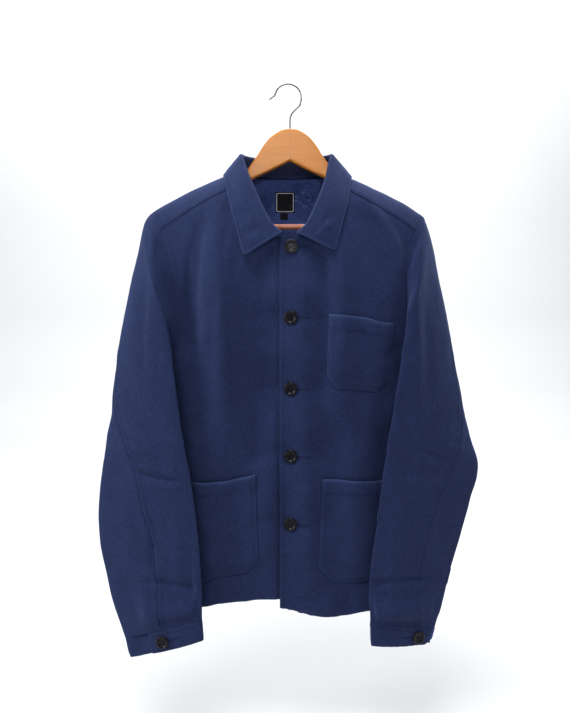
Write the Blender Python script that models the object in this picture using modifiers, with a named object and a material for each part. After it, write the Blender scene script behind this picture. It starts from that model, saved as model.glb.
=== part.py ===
"""Chore jacket in cotton twill, hanging on a wooden hanger.

The origin is inside the top of the wire hook, where a rail or a nail holds it.  +Z is up, the
jacket faces -Y, and "left" is the wearer's left, at +X.

The body of the jacket is one surface that runs round the torso.  A point on it is given by
    across   -1 at the right side seam, 0 in the middle, +1 at the left side seam
    path     0 on the shoulder ridge, growing down the front and falling down the back
and every panel is a patch of that surface.  What is sewn on a panel is made from the panel's
own points, moved out.  Sleeves and cuffs are lofts through rings, the collar is a loft along
the neck seam.  Tables are in millimetres, everything else is in metres.
"""

import math
from collections import namedtuple

import bmesh
import bpy
from mathutils import Vector
from mathutils.bvhtree import BVHTree

MM = 0.001

# ---------------------------------------------------------------- driving dimensions

CLOTH_WALL = 1.2 * MM        # twill panel with its seam allowance
POCKET_WALL = 1.0 * MM
COLLAR_WALL = 1.8 * MM       # two layers and interlining
CUFF_WALL = 2.2 * MM
LABEL_WALL = 0.6 * MM
SEAM_GAP = 0.35 * MM         # between two pieces that are sewn together
LIE_GAP = 0.8 * MM           # between a panel and what lies on it
POCKET_LIFT = 1.1 * MM
SEAM_STRIP = 2.2 * MM        # flat strip along a seam, so that both walls end square to it
ARM_STRIP = 0.12             # the same beside a sleeve's seams, in armhole steps
RING_STRIP = 0.010           # and in turns of a sleeve's ring
SLEEVE_GAPS = (1.2, 3.0)     # seam gaps along a sleeve's seams, and at its first ring

CENTRE_X = -5 * MM           # middle of the shoulders
RIDGE_ROUND = 45 * MM        # height over which the shoulder turns from back to front
SIDE_SQUARENESS = 2.45       # 2 would be an ellipse, higher is a squarer side

FRONT_EDGE_X = -15.5 * MM    # edge of the left front, which closes on top
UNDER_EDGE_X = 16 * MM       # edge of the right front, under it
CLOSURE_LIFT = 1.9 * MM      # how far the left front stands over the right one
CLOSURE_FADE = (30 * MM, 85 * MM)

UNDERARM_Z = -416 * MM
SIDE_X = 205 * MM            # distance of the side seams from the middle
SIDE_HEM_Z = -803 * MM
LOW_ROWS = 13                # rows from the hem to the underarm
ROW_SLOPE = 75 * MM          # how much lower the underarm's row starts at the front edge
FRONT_ARM_ROWS = 10          # rows from the underarm to the forward shoulder seam
BACK_ARM_ROWS = (6, 3, 3)    # underarm to shoulder blade, to the ridge, to the forward seam
NECK_COLUMNS = 4
SEAM_COLUMNS = 5
BACK_NECK_COLUMNS = 10

BUTTON_RADIUS = 10.2 * MM
BUTTON_HEIGHT = 3.6 * MM
BUTTON_X = 1.3 * MM
BUTTON_Z = [-243.5 * MM, -347.5 * MM, -454 * MM, -557 * MM, -662.5 * MM]

HANGER_THICKNESS = 13 * MM
HANGER_UNDER_RIDGE = 6.5 * MM
BAR_RADIUS = 4.5 * MM
BAR_Z = -210.3 * MM
BAR_HALF_LENGTH = 176 * MM
BAR_BORE = 4.8 * MM
WIRE_RADIUS = 1.4 * MM
WIRE_BORE = 1.75 * MM
STEM_BORE_Z = (-84 * MM, -60 * MM)
HOOK_CENTRE = (-3 * MM, -20 * MM + WIRE_RADIUS)
HOOK_RADIUS = 20 * MM

# ---------------------------------------------------------------- tables, in millimetres

Ridge = namedtuple("Ridge", "x z")
RIDGE = [Ridge(*row) for row in (
    (-220, -197), (-206, -186), (-182, -172.5), (-157, -159.5), (-131, -147.5), (-106, -136.7),
    (-84, -129), (-45, -120), (0, -117), (40, -120), (76, -131), (95, -139), (126, -152),
    (172, -174), (192, -186.5), (210, -199.5),
)]

# a row for each level of the torso, by how far it lies below the ridge
Section = namedtuple("Section", "drop half_width front_depth back_depth")
SECTIONS = [Section(*row) for row in (
    (0, 227, 26, 22), (45, 221, 36, 28), (100, 214, 47, 33), (180, 209, 53, 36),
    (260, 206, 55, 38), (400, 206, 55, 40), (560, 206, 54, 40), (720, 207, 53, 40),
)]

# distance of the armhole seam from the middle, on the front and on the back
Armhole = namedtuple("Armhole", "z front_right back_right front_left back_left")
ARMHOLE = [Armhole(*row) for row in (
    (-412, 190, 202, 190, 202), (-403, 179, 199, 182, 199), (-384, 169.5, 195, 179, 195),
    (-358, 166, 192, 180, 192), (-322, 166, 191, 181, 191), (-286, 169.5, 193, 179, 193),
    (-262, 173.5, 196, 178, 196), (-241, 181.5, 200, 181.5, 200), (-218, 190, 205, 192.5, 203),
)]
ARMHOLE_TOP = 209            # on the ridge

# where the back meets the front, on the front of the shoulder
Seam = namedtuple("Seam", "x z")
FORWARD_SEAM_RIGHT = [Seam(*row) for row in (
    (-80, -152), (-101, -162.5), (-133, -179), (-165, -198), (-195, -218),
)]
FORWARD_SEAM_LEFT = [Seam(*row) for row in (
    (76, -153), (94, -162.5), (129, -181.5), (163.5, -202), (187.5, -218),
)]
NECKLINE_RIGHT = [Seam(*row) for row in (
    (16, -233), (-13, -228), (-32, -220), (-52, -203), (-69, -178), (-80, -152),
)]
NECKLINE_LEFT = [Seam(*row) for row in (
    (-15.5, -231), (10, -228), (26, -221), (46, -204), (64, -180), (76, -153),
)]
BACK_NECK_PATH = [(-84, 0), (-77, -13), (-48, -23.5), (-4, -27), (41, -23.5), (73, -13), (81, 0)]

HEM_RIGHT = [Seam(*row) for row in (
    (16, -785), (-14, -784), (-46, -784), (-98, -791), (-138, -800.5), (-180, -803),
)]
HEM_LEFT = [Seam(*row) for row in (
    (-14, -795), (9, -799), (35, -808), (56, -811), (78, -809), (123, -805), (175, -803),
)]
HEM_BACK = [Seam(*row) for row in (
    (-180, -803), (-120, -800), (-60, -798), (0, -797), (60, -798), (120, -801), (170, -803),
)]

# a row for each large fold: a ridge where it lifts the cloth, a trough where it sinks it
Fold = namedtuple("Fold", "face x_top z_top x_low z_low width lift")
FOLDS = [Fold(*row) for row in (
    ("front", -108, -185, -134, -430, 13, 5.0),
    ("front", -132, -205, -158, -405, 12, -4.5),
    ("front", -88, -235, -72, -430, 20, -3.0),
    ("front", 124, -185, 164, -285, 10, 5.0),
    ("front", 103, -185, 150, -285, 11, -4.0),
    ("front", -96, -470, -82, -790, 26, 3.0),
    ("front", 62, -470, 74, -800, 26, -3.0),
    ("front", 112, -480, 120, -800, 24, 3.0),
    ("back", -118, -200, -142, -520, 22, 4.5),
    ("back", 104, -210, 136, -480, 20, 4.0),
    ("back", -60, -240, -46, -640, 26, -3.5),
    ("back", 52, -230, 30, -790, 30, -4.0),
    ("back", -100, -560, -92, -795, 24, 3.0),
)]

# a row for each ring of a sleeve: how far its outer edge, its front fold and its underside lie
# forward, back and down; both sleeves share them
Depth = namedtuple("Depth", "outer_y fold_y swell_front swell_back swell_inner"
                            " tuck_out tuck_back tuck_down")
SLEEVE_DEPTH = [Depth(*row) for row in (
    (-3, -50, 18, 26, 17, 38, 45, 66), (-5, -54, 17, 24, 14, 44, 46, 52),
    (-8, -57, 15, 22, 9, 48, 45, 37), (-12, -60, 13, 20, 4, 49, 43, 19),
    (-16, -63, 11, 18, 1, 46, 41, 6), (-20, -65, 10, 16, 0, 41, 35, 1),
    (-24, -68, 9, 14, 0, 32, 27, 0), (-28, -69, 8, 14, 0, 21, 21, 0),
    (-33, -71, 8, 12, 0, 13, 17, 0), (-38, -73, 7, 10, 0, 8, 15, 0),
    (-43, -74, 7, 9, 0, 6, 14, 0), (-48, -75, 6, 8, 0, 5, 14, 0),
    (-51, -75, 6, 8, 0, 4, 14, 0), (-53, -75, 6, 8, 0, 3, 14, 0),
)]
SLEEVE_SWELL_INNER = (-0.15, -0.50, -0.85)    # towards the body, forward and down
SLEEVE_KNOTS = [0, 1 / 8, 2 / 8, 3 / 8, 7 / 16, 4 / 8, 5 / 8, 6 / 8, 7 / 8]
# the outline of each sleeve at the same rings, as distances from the middle, and where the
# elbow seam crosses the ring (0 outer edge, 0.375 front fold, 0.5 underside)
Outline = namedtuple("Outline", "outer_x outer_z fold_x fold_z elbow_seam")
SLEEVE_RIGHT = [Outline(*row) for row in (
    (219, -209, 179, -354, -.11), (227, -246, 175, -373, -.10), (238, -293, 171, -394, -.08),
    (251, -353, 168, -425, -.06), (262, -415, 164, -457, -.03), (270, -477, 159, -493, .02),
    (279, -533, 154, -529, .07), (287, -589, 147, -574, .12), (293, -648, 141, -624, .16),
    (291, -697, 136, -674, .19), (282, -742, 133, -720, .20), (271, -789, 131, -764, .20),
    (252, -847, 131, -805, .19), (244, -878, 129, -839, .19),
)]
SLEEVE_LEFT = [Outline(*row) for row in (
    (218, -215, 178, -351, -.11), (227, -249, 175, -373, -.10), (235, -295, 171, -395, -.08),
    (247, -350, 168, -422, -.06), (260, -412, 163, -454, -.03), (273, -473, 158, -491, .01),
    (283, -528, 152, -529, .06), (298, -582, 147, -571, .12), (287, -632, 141, -620, .15),
    (272, -690, 136, -669, .16), (255, -742, 130, -715, .15), (243, -789, 127, -762, .14),
    (231, -830, 129, -810, .10), (224, -855, 131, -847, .10),
)]
UNDER_SEAM = 0.60            # the other sleeve seam, on the back near the inner edge
ELBOW_SEAM_START = 3         # armhole points from the shoulder tip, down the back, to that seam
UNDER_SEAM_START = 3         # armhole points from the underarm, up the back, to the other seam

# overlap_at and button_at are places round the cuff, counted like elbow_seam
Cuff = namedtuple("Cuff", "overlap_at button_at")
CUFF_RIGHT = Cuff(0.12, 0.185)
CUFF_LEFT = Cuff(0.045, 0.100)
CUFF_OVERLAP = 0.13          # part of a turn
CUFF_TUCK = (0.90, 0.985)    # turns over which its end slips under its start
CUFF_BUTTON_SHARE = 0.52     # of its height, down to the button
CUFF_HEIGHT = 34 * MM
CUFF_COLUMNS = 28

# a row for each station of the collar, from the right front end round the back of the neck:
# the roll line in the air, then the free edge and the neck seam on the torso
Station = namedtuple("Station", "roll_x roll_y roll_z edge_x edge_path neck_x neck_path")
COLLAR = [Station(*row) for row in (
    (-12.7, -60.0, -224.4, -67.0, 134, -12.7, 107), (-25, -56.5, -211, -70.5, 122, -31, 99),
    (-38.2, -48.5, -183.3, -78, 93, -52, 80), (-56.5, -32.5, -143, -89, 54, -70, 50),
    (-66.8, -15, -111.5, -99, 22, -80, 28), (-70.5, -8.5, -105.5, -103.5, 11, -83, 13),
    (-72.5, -2, -102.5, -106, 0, -84, -3),
    (-67, 11, -101.5, -105, -26, -74, -15), (-44, 22, -100.5, -82, -52, -46, -24),
    (-4, 27.5, -100, -4, -62, -4, -28), (36, 22, -100.5, 72, -52, 38, -24),
    (57.5, 11, -101.5, 95, -26, 71, -15), (63, -2, -102.5, 97, 0, 81, -3),
    (61, -8.5, -106.5, 94.5, 11, 80, 13), (57, -15, -113, 90, 22, 76, 28), (47.2, -33.5, -145.2, 84, 50, 65, 50),
    (33.4, -49.5, -180.4, 75, 85, 47, 82), (20.8, -59, -213, 69.5, 110, 26, 101),
    (9.6, -62.5, -224.6, 65.7, 124, 9.6, 109),
)]
ROLL_RADIUS_BACK = 4.2 * MM
ROLL_RADIUS_FRONT = 2.6 * MM
ROLL_FADE = (-60, 20)        # roll_y over which the one radius becomes the other
NECK_MIDDLE_Y = -12 * MM
EDGE_LIFT = 4.0 * MM         # free edge of the collar, outer face over the panel
STAND_LIFT = 1.5 * MM        # lower edge of the stand over the panel
STAND_GAP = 1.1 * MM
LEAF_BULGE = (1.2 * MM, 4 * MM)      # on the shoulder ridge, and away from it

# corners of the patches: the two top corners, the two lower ones, and how much is cut off them
Patch = namedtuple("Patch", "name left_x left_top right_x right_top left_low_x left_low"
                            " right_low_x right_low chamfer front")
POCKETS = [Patch(*row) for row in (
    ("pocket_chest", 58.5, -342.5, 155.5, -356.5, 53.5, -452, 144.5, -459, 15, "front_left"),
    ("pocket_lower_right", -181, -598, -53, -584.5, -180, -762, -49, -741, 20, "front_right"),
    ("pocket_lower_left", 48.5, -592, 173, -597, 43.5, -755.5, 172, -759, 22, "front_left"),
)]
POCKET_FULLNESS = 2.0 * MM
POCKET_ROWS = [0, 0.08, 0.3, 0.55, 0.8]
POCKET_COLUMNS = 7

LABEL_BOX = (-22, -156.5, 7, -185.5)         # left, top, right, bottom
SIZE_TAB_BOX = (-15, -186.5, -3, -196)

# half of the hanger, seen from the front
ARM_TOP = [(0, -64.6), (9, -65.6), (18, -69.4), (30, -77.7), (41, -90.9), (50, -105),
           (60, -118.5), (68, -131), (76, -141)]
ARM_ON_RIDGE = [88, 106, 126, 146, 166, 184]
ARM_END = [(194, -196), (197, -205), (194, -215), (187, -221), (178, -222), (170, -217),
           (166, -208), (158, -197)]
ARM_LOWER = [(140, -186), (115, -172), (88, -156.5), (59.5, -139), (32, -125.5), (14, -115),
             (0, -110.4)]
HOOK_STEM = [(0, -83), (0, -70), (0, -57), (0.4, -48), (3.6, -41), (9, -35.5), (14.6, -29.5)]
HOOK_TIP = [(-25.4, -17.2), (-30.2, -20.4)]
HOOK_ARC = (-10, 168)        # degrees round the hook's centre

MATERIALS = {
    "navy_twill": ((0.027, 0.034, 0.096, 1), 0.85, 0.0),
    "dark_button": ((0.012, 0.011, 0.014, 1), 0.35, 0.0),
    "woven_label": ((0.016, 0.016, 0.020, 1), 0.70, 0.0),
    "amber_wood": ((0.60, 0.27, 0.075, 1), 0.32, 0.0),
    "salmon_bar": ((0.55, 0.20, 0.12, 1), 0.40, 0.0),
    "hook_steel": ((0.62, 0.62, 0.62, 1), 0.25, 1.0),
}


# ---------------------------------------------------------------- small tools

def clear_scene():
    for item in list(bpy.data.objects):
        bpy.data.objects.remove(item, do_unlink=True)


def make_material(name):
    colour, roughness, metallic = MATERIALS[name]
    material = bpy.data.materials.new(name)
    material.use_nodes = True
    shader = material.node_tree.nodes["Principled BSDF"]
    shader.inputs["Base Color"].default_value = colour
    shader.inputs["Roughness"].default_value = roughness
    shader.inputs["Metallic"].default_value = metallic
    material.diffuse_color = colour
    return material


def clamp(value, low=0.0, high=1.0):
    return max(low, min(high, value))


def smooth_step(low, high, value):
    t = clamp((value - low) / (high - low))
    return t * t * (3 - 2 * t)


def read(rows, at, column):
    """A column of a table at a key, the first column, on a smooth curve through the rows."""
    keys = [row[0] for row in rows]
    values = [getattr(row, column) for row in rows]
    if keys[0] > keys[-1]:
        keys.reverse()
        values.reverse()
    at = clamp(at, keys[0], keys[-1])
    k = max(i for i in range(len(keys) - 1) if keys[i] <= at)

    def slope(i):
        low, high = max(i - 1, 0), min(i + 1, len(keys) - 1)
        return (values[high] - values[low]) / (keys[high] - keys[low])

    span = keys[k + 1] - keys[k]
    t = (at - keys[k]) / span
    return (values[k] * (2 * t ** 3 - 3 * t ** 2 + 1) + values[k + 1] * (3 * t ** 2 - 2 * t ** 3)
            + span * (slope(k) * (t ** 3 - 2 * t ** 2 + t) + slope(k + 1) * (t ** 3 - t ** 2)))


def catmull(p0, p1, p2, p3, t):
    return 0.5 * (2 * p1 + (p2 - p0) * t + (2 * p0 - 5 * p1 + 4 * p2 - p3) * t * t
                  + (3 * p1 - p0 - 3 * p2 + p3) * t ** 3)


def curve_point(points, at, closed=False):
    """A point on the smooth curve through the points; at counts points, from 0."""
    count = len(points)
    if closed:
        k = math.floor(at)
        return catmull(*(points[(k + i) % count] for i in (-1, 0, 1, 2)), at - k)
    k = min(max(int(at), 0), count - 2)
    ends = [points[min(max(k + i, 0), count - 1)] for i in (-1, 0, 1, 2)]
    return catmull(*ends, at - k)


def along(points, count):
    """The points of a polyline, set out again at count equal steps along its smooth curve.

    Steps between places on the torso, given as (across, path), are measured on its surface."""
    fine = [curve_point(points, i / 8) for i in range(8 * (len(points) - 1) + 1)]
    places = [torso(*point) for point in fine] if len(fine[0]) == 2 else fine
    lengths = [0.0]
    for first, second in zip(places, places[1:]):
        lengths.append(lengths[-1] + (second - first).length)
    result = []
    k = 0
    for step in range(count + 1):
        goal = lengths[-1] * step / count
        while k < len(fine) - 2 and lengths[k + 1] < goal:
            k += 1
        share = (goal - lengths[k]) / max(lengths[k + 1] - lengths[k], 1e-9)
        result.append(fine[k].lerp(fine[k + 1], clamp(share)))
    return result


# ---------------------------------------------------------------- the torso surface

def ridge_z(x):
    return read(RIDGE, x / MM, "z") * MM


def path_from_drop(drop):
    """How far along the surface a point lies that is this far below the ridge."""
    if drop >= RIDGE_ROUND:
        return drop
    return RIDGE_ROUND * math.acos(1 - max(drop, 0) / RIDGE_ROUND) / (math.pi / 2)


def drop_from_path(path):
    path = abs(path)
    if path >= RIDGE_ROUND:
        return path
    return RIDGE_ROUND * (1 - math.cos(math.pi / 2 * path / RIDGE_ROUND))


def half_width(path):
    return read(SECTIONS, drop_from_path(path) / MM, "half_width") * MM


def fold_lift(face, x, z):
    """How far the folds of one face lift the cloth at a point."""
    lift = 0.0
    for fold in FOLDS:
        if fold.face != face:
            continue
        top = Vector((fold.x_top, fold.z_top)) * MM
        low = Vector((fold.x_low, fold.z_low)) * MM
        line = low - top
        share = (Vector((x, z)) - top).dot(line) / line.length_squared
        nearest = top + line * clamp(share)
        side = (Vector((x, z)) - nearest).length / (fold.width * MM)
        ends = smooth_step(-0.12, 0.2, share) * (1 - smooth_step(0.7, 1.1, share))
        lift += fold.lift * MM * math.exp(-side * side) * ends
    return lift


def torso(across, path):
    """A point of the jacket's body, outer face."""
    path_length = abs(path)
    share = math.sin(across * math.pi / 2)
    x = CENTRE_X + half_width(path) * share
    drop = drop_from_path(path)
    z = ridge_z(x) - drop
    turn = math.sin(math.pi / 2 * min(path_length / RIDGE_ROUND, 1))
    side = max(1 - abs(share) ** SIDE_SQUARENESS, 0) ** (1 / SIDE_SQUARENESS)
    if path >= 0:
        depth = read(SECTIONS, drop / MM, "front_depth") * MM
        return Vector((x, -(depth * side + fold_lift("front", x, z) * min(side * 2, 1)) * turn, z))
    depth = read(SECTIONS, drop / MM, "back_depth") * MM
    return Vector((x, (depth * side + fold_lift("back", x, z) * min(side * 2, 1)) * turn, z))


def torso_normal(across, path):
    """The outward direction of the torso surface at a point."""
    step = 0.002
    high = 0.999
    low_across = clamp(across - step, -high, high - 2 * step)
    over = torso(low_across + 2 * step, path) - torso(low_across, path)
    down = torso(across, path + step) - torso(across, path - step)
    return down.cross(over).normalized()


def spot(x, z=None, path=None, face=1):
    """(across, path) of a place given by x and either its height on a face or its path."""
    if path is None:
        path = face * path_from_drop(ridge_z(x) - z)
    share = clamp((x - CENTRE_X) / half_width(path), -1, 1)
    return Vector((math.asin(share) * 2 / math.pi, path))


def spots(rows, face=1):
    return [spot(row[0] * MM, row[1] * MM, face=face) for row in rows]


def patch(bottom, top, left, right):
    """A grid of (across, path) between four edges (Coons patch), from the bottom row up."""
    columns, rows = len(bottom) - 1, len(left) - 1
    grid = []
    for j in range(rows + 1):
        v = j / rows
        line = []
        for i in range(columns + 1):
            u = i / columns
            ruled = (bottom[i] * (1 - v) + top[i] * v + left[j] * (1 - u) + right[j] * u)
            corners = ((bottom[0] * (1 - u) + bottom[-1] * u) * (1 - v)
                       + (top[0] * (1 - u) + top[-1] * u) * v)
            line.append(ruled - corners)
        grid.append(line)
    return grid


# ---------------------------------------------------------------- seams of the torso

def side_sign(side):
    return -1 if side == "right" else 1


def side_seam(side, face):
    """From the hem up to the underarm."""
    sign = side_sign(side)
    ridge = ridge_z(CENTRE_X + sign * SIDE_X)
    low, high = face * (ridge - SIDE_HEM_Z), face * (ridge - UNDERARM_Z)
    return [Vector((sign, low + (high - low) * j / LOW_ROWS)) for j in range(LOW_ROWS + 1)]


def armhole_side(side, face):
    """The armhole seam on one face, from the underarm up to the highest row of the table."""
    sign = side_sign(side)
    column = ("front_" if face > 0 else "back_") + side
    ridge = ridge_z(CENTRE_X + sign * SIDE_X)
    points = [Vector((sign, face * (ridge - UNDERARM_Z)))]
    for row in ARMHOLE:
        points.append(spot(CENTRE_X + sign * getattr(row, column) * MM, row.z * MM, face=face))
    return points


def armhole_front(side):
    return along(armhole_side(side, 1), FRONT_ARM_ROWS)


def armhole_back(side):
    """The armhole seam on the back, over the ridge and down to the forward seam."""
    to_blade, to_ridge, to_seam = BACK_ARM_ROWS
    rising = armhole_side(side, -1)
    ridge = spot(CENTRE_X + side_sign(side) * ARMHOLE_TOP * MM, path=0)
    blade = rising[-1]
    forward = armhole_side(side, 1)[-1]
    return (along(rising, to_blade) + along([blade, ridge], to_ridge)[1:]
            + along([ridge, forward], to_seam)[1:])


def forward_seam(side):
    """The shoulder seam on the front, from the neck out to the armhole."""
    rows = FORWARD_SEAM_RIGHT if side == "right" else FORWARD_SEAM_LEFT
    points = along(spots(rows), SEAM_COLUMNS)
    points[-1] = armhole_side(side, 1)[-1]
    return points


def back_neck():
    """From the right forward seam over the ridge, round the back of the neck to the left one."""
    points = [spot(x * MM, path=path * MM) for x, path in BACK_NECK_PATH]
    return along([forward_seam("right")[0]] + points + [forward_seam("left")[0]],
                 BACK_NECK_COLUMNS)


# ---------------------------------------------------------------- building cloth

def cloth(name, grid, wall, material, closed=False):
    """A cloth wall whose outer face runs through the grid; it gets its thickness inwards."""
    shape = bmesh.new()
    rows = [[shape.verts.new(point) for point in line] for line in grid]
    for low, high in zip(rows, rows[1:]):
        count = len(low)
        for i in range(count if closed else count - 1):
            k = (i + 1) % count
            shape.faces.new((low[i], low[k], high[k], high[i]))
    shape.normal_update()
    mesh = bpy.data.meshes.new(name)
    shape.to_mesh(mesh)
    shape.free()
    item = add(name, mesh, material)
    thickness = item.modifiers.new("Thickness", "SOLIDIFY")
    thickness.thickness = wall
    thickness.offset = -1
    return item


def add(name, data, material):
    item = bpy.data.objects.new(name, data)
    jacket.objects.link(item)
    data.materials.append(materials[material])
    return item


def surface(grid):
    """The faceted outer face of a panel, to set other pieces on."""
    points = [point for line in grid for point in line]
    width = len(grid[0])
    faces = [(j * width + i, j * width + i + 1, (j + 1) * width + i + 1, (j + 1) * width + i)
             for j in range(len(grid) - 1) for i in range(width - 1)]
    return BVHTree.FromPolygons(points, faces)


def seat(panel, x, z, towards=1):
    """The place on a panel seen from the front (or from inside, with towards -1)."""
    place, normal, _, _ = panel.ray_cast(Vector((x, -towards, z)), Vector((0, towards, 0)))
    if normal.y * towards > 0:
        normal = -normal
    return place, normal


def pull_apart(points, neighbours, wide_at=None):
    """Moves an edge row away from its seam, towards the panel's own next row."""
    pulled = [point + (inner - point).normalized() * SEAM_GAP / 2
              for point, inner in zip(points, neighbours)]
    if wide_at is not None:
        pulled[wide_at] += (neighbours[wide_at] - points[wide_at]).normalized() * SEAM_GAP
    return pulled


def seam_strips(grid, first, last):
    """Adds a column close to each side that has a seam, and a row close to the top seam."""
    result = []
    for line in grid:
        line = list(line)
        if last:
            line.insert(-1, near_end(line[-2], line[-1]))
        if first:
            line.insert(1, near_end(line[1], line[0]))
        result.append(line)
    result.insert(-1, [near_end(low, high) for low, high in zip(result[-2], result[-1])])
    return result


def near_end(inner, end):
    """The (across, path) that lies one seam strip before the end of a step."""
    low, high = 0.0, 1.0
    goal = torso(*end)
    if (torso(*inner) - goal).length < 1.6 * SEAM_STRIP:
        return inner.lerp(end, 0.5)
    for _ in range(16):
        middle = (low + high) / 2
        if (torso(*inner.lerp(end, middle)) - goal).length > SEAM_STRIP:
            low = middle
        else:
            high = middle
    return inner.lerp(end, low)


def open_seams(grid):
    """Leaves half a seam gap along all four edges of a panel, and more at the underarm."""
    grid[0] = pull_apart(grid[0], grid[1])
    grid[-1] = pull_apart(grid[-1], grid[-2])
    columns = list(zip(*grid))
    first = pull_apart(columns[0], columns[1], LOW_ROWS)
    last = pull_apart(columns[-1], columns[-2], LOW_ROWS)
    for line, start, end in zip(grid, first, last):
        line[0] = start
        line[-1] = end
    return grid


def front_grid(side):
    sign = side_sign(side)
    if side == "left":
        edge_x, hem, neckline = FRONT_EDGE_X, HEM_LEFT, NECKLINE_LEFT
    else:
        edge_x, hem, neckline = UNDER_EDGE_X, HEM_RIGHT, NECKLINE_RIGHT
    outer = side_seam(side, 1) + armhole_front(side)[1:]
    top = along(spots(neckline), NECK_COLUMNS) + forward_seam(side)[1:]
    bottom = along(spots(hem) + [outer[0]], len(top) - 1)
    knee = path_from_drop(ridge_z(edge_x) - UNDERARM_Z + ROW_SLOPE)
    inner = []
    for j in range(len(outer)):
        if j <= LOW_ROWS:
            path = bottom[0][1] + (knee - bottom[0][1]) * j / LOW_ROWS
        else:
            path = knee + (top[0][1] - knee) * (j - LOW_ROWS) / FRONT_ARM_ROWS
        inner.append(spot(edge_x, path=path))
    inner[0], inner[-1] = bottom[0], top[0]
    places = seam_strips(patch(bottom, top, inner, outer), first=False, last=True)
    grid = [[torso(*place) for place in line] for line in places]
    for line in grid:
        for point in line:
            if side == "left":
                point.y -= CLOSURE_LIFT * (1 - smooth_step(*CLOSURE_FADE, point.x))
    if sign < 0:
        grid = [line[::-1] for line in grid]
    return open_seams(grid)


def back_grid():
    left = side_seam("right", -1) + armhole_back("right")[1:]
    right = side_seam("left", -1) + armhole_back("left")[1:]
    top = forward_seam("right")[::-1] + back_neck()[1:-1] + forward_seam("left")
    bottom = along([left[0]] + spots(HEM_BACK, face=-1) + [right[0]], len(top) - 1)
    places = seam_strips(patch(bottom, top, left, right), first=True, last=True)
    grid = open_seams([[torso(*place) for place in line] for line in places])
    return [line[::-1] for line in grid]


# ---------------------------------------------------------------- sleeves and cuffs

def armhole_ring(side, shift):
    """The armhole as a ring from the shoulder tip down the front, moved off the torso."""
    to_blade, to_ridge, to_seam = BACK_ARM_ROWS
    back = armhole_back(side)
    front = armhole_front(side)
    tip = to_blade + to_ridge
    loop = (back[tip:] + front[::-1][1:] + back[1:tip])
    places = [torso(*place) for place in loop]
    hole = sum(places, Vector()) / len(places)
    ring = []
    count = len(places)
    for k, place in enumerate(places):
        tangent = (places[(k + 1) % count] - places[k - 1]).normalized()
        outward = torso_normal(*loop[k])
        off = outward.cross(tangent).normalized()
        if off.dot(hole - place) < 0:
            off = -off
        ring.append(place + off * shift)
    return ring


def sleeve_ring(side, row):
    """The points that a ring of the sleeve runs through at SLEEVE_KNOTS, outer edge first."""
    outline = (SLEEVE_RIGHT if side == "right" else SLEEVE_LEFT)[row]
    depth = SLEEVE_DEPTH[row]
    sign = side_sign(side)
    outer = Vector((CENTRE_X / MM + sign * outline.outer_x, depth.outer_y, outline.outer_z)) * MM
    fold = Vector((CENTRE_X / MM + sign * outline.fold_x, depth.fold_y, outline.fold_z)) * MM
    under = fold + Vector((sign * depth.tuck_out, depth.tuck_back, -depth.tuck_down)) * MM
    front_out = Vector((0, -depth.swell_front * MM, 0))
    back_out = Vector((0, depth.swell_back * MM, 0))
    points = [outer]
    for share in (1 / 3, 2 / 3):
        points.append(outer.lerp(fold, share) + front_out * math.sin(math.pi * share))
    inner_out = Vector((-sign * SLEEVE_SWELL_INNER[0], *SLEEVE_SWELL_INNER[1:])) * depth.swell_inner
    points += [fold, fold.lerp(under, 0.5) + inner_out * MM, under]
    for share in (0.25, 0.5, 0.75):
        points.append(under.lerp(outer, share) + back_out * math.sin(math.pi * share))
    return points


def sleeve_point(side, row, at):
    at = at % 1
    knots = SLEEVE_KNOTS + [1]
    k = max(i for i in range(len(SLEEVE_KNOTS)) if knots[i] <= at)
    share = (at - knots[k]) / (knots[k + 1] - knots[k])
    return curve_point(sleeve_ring(side, row), k + share, closed=True)


def seam_steps(start, end, count, strip):
    """Equal steps from one seam to the next, with one more close to each seam."""
    steps = [start + (end - start) * i / count for i in range(count + 1)]
    return [start, start + strip] + steps[1:-1] + [end - strip, end]


def sleeve_grids(side):
    """Grids of the upper and the under sleeve, from the armhole to the cuff."""
    count = sum(BACK_ARM_ROWS) + FRONT_ARM_ROWS
    rows = SLEEVE_RIGHT if side == "right" else SLEEVE_LEFT
    underarm = BACK_ARM_ROWS[2] + FRONT_ARM_ROWS
    elbow, inner = -ELBOW_SEAM_START, underarm + UNDER_SEAM_START
    upper_count = inner - elbow
    upper, under = [], []
    for shift in (SEAM_GAP * 2, SEAM_GAP * 2 + SEAM_STRIP):
        ring = armhole_ring(side, shift)
        for grid, steps in (
                (upper, seam_steps(elbow, inner, upper_count, ARM_STRIP)),
                (under, seam_steps(inner, elbow + count, count - upper_count, ARM_STRIP))):
            grid.append([curve_point(ring, at, closed=True) for at in steps])
    for row in range(len(rows) - 1):
        start = rows[row].elbow_seam
        for grid, steps in (
                (upper, seam_steps(start, UNDER_SEAM, upper_count, RING_STRIP)),
                (under, seam_steps(UNDER_SEAM, 1 + start, count - upper_count, RING_STRIP))):
            grid.append([sleeve_point(side, row, at) for at in steps])
    for grid in (upper, under):
        for row, line in enumerate(grid):
            gap = SEAM_GAP * SLEEVE_GAPS[row == 2]
            line[0] += (line[1] - line[0]).normalized() * gap
            line[-1] += (line[-2] - line[-1]).normalized() * gap
    if side == "right":
        return [line[::-1] for line in upper], [line[::-1] for line in under]
    return upper, under


def cuff_place(side, at, share):
    """A point on the cuff, and the direction out of it; share runs from its top to its end."""
    last = len(SLEEVE_DEPTH) - 1
    place = sleeve_point(side, last - 1, at).lerp(sleeve_point(side, last, at), share)
    step = 0.01
    ahead = sleeve_point(side, last, at + step) - sleeve_point(side, last, at - step)
    down = sleeve_point(side, last, at) - sleeve_point(side, last - 1, at)
    outward = ahead.cross(down).normalized() * side_sign(side)
    return place, outward


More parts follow.
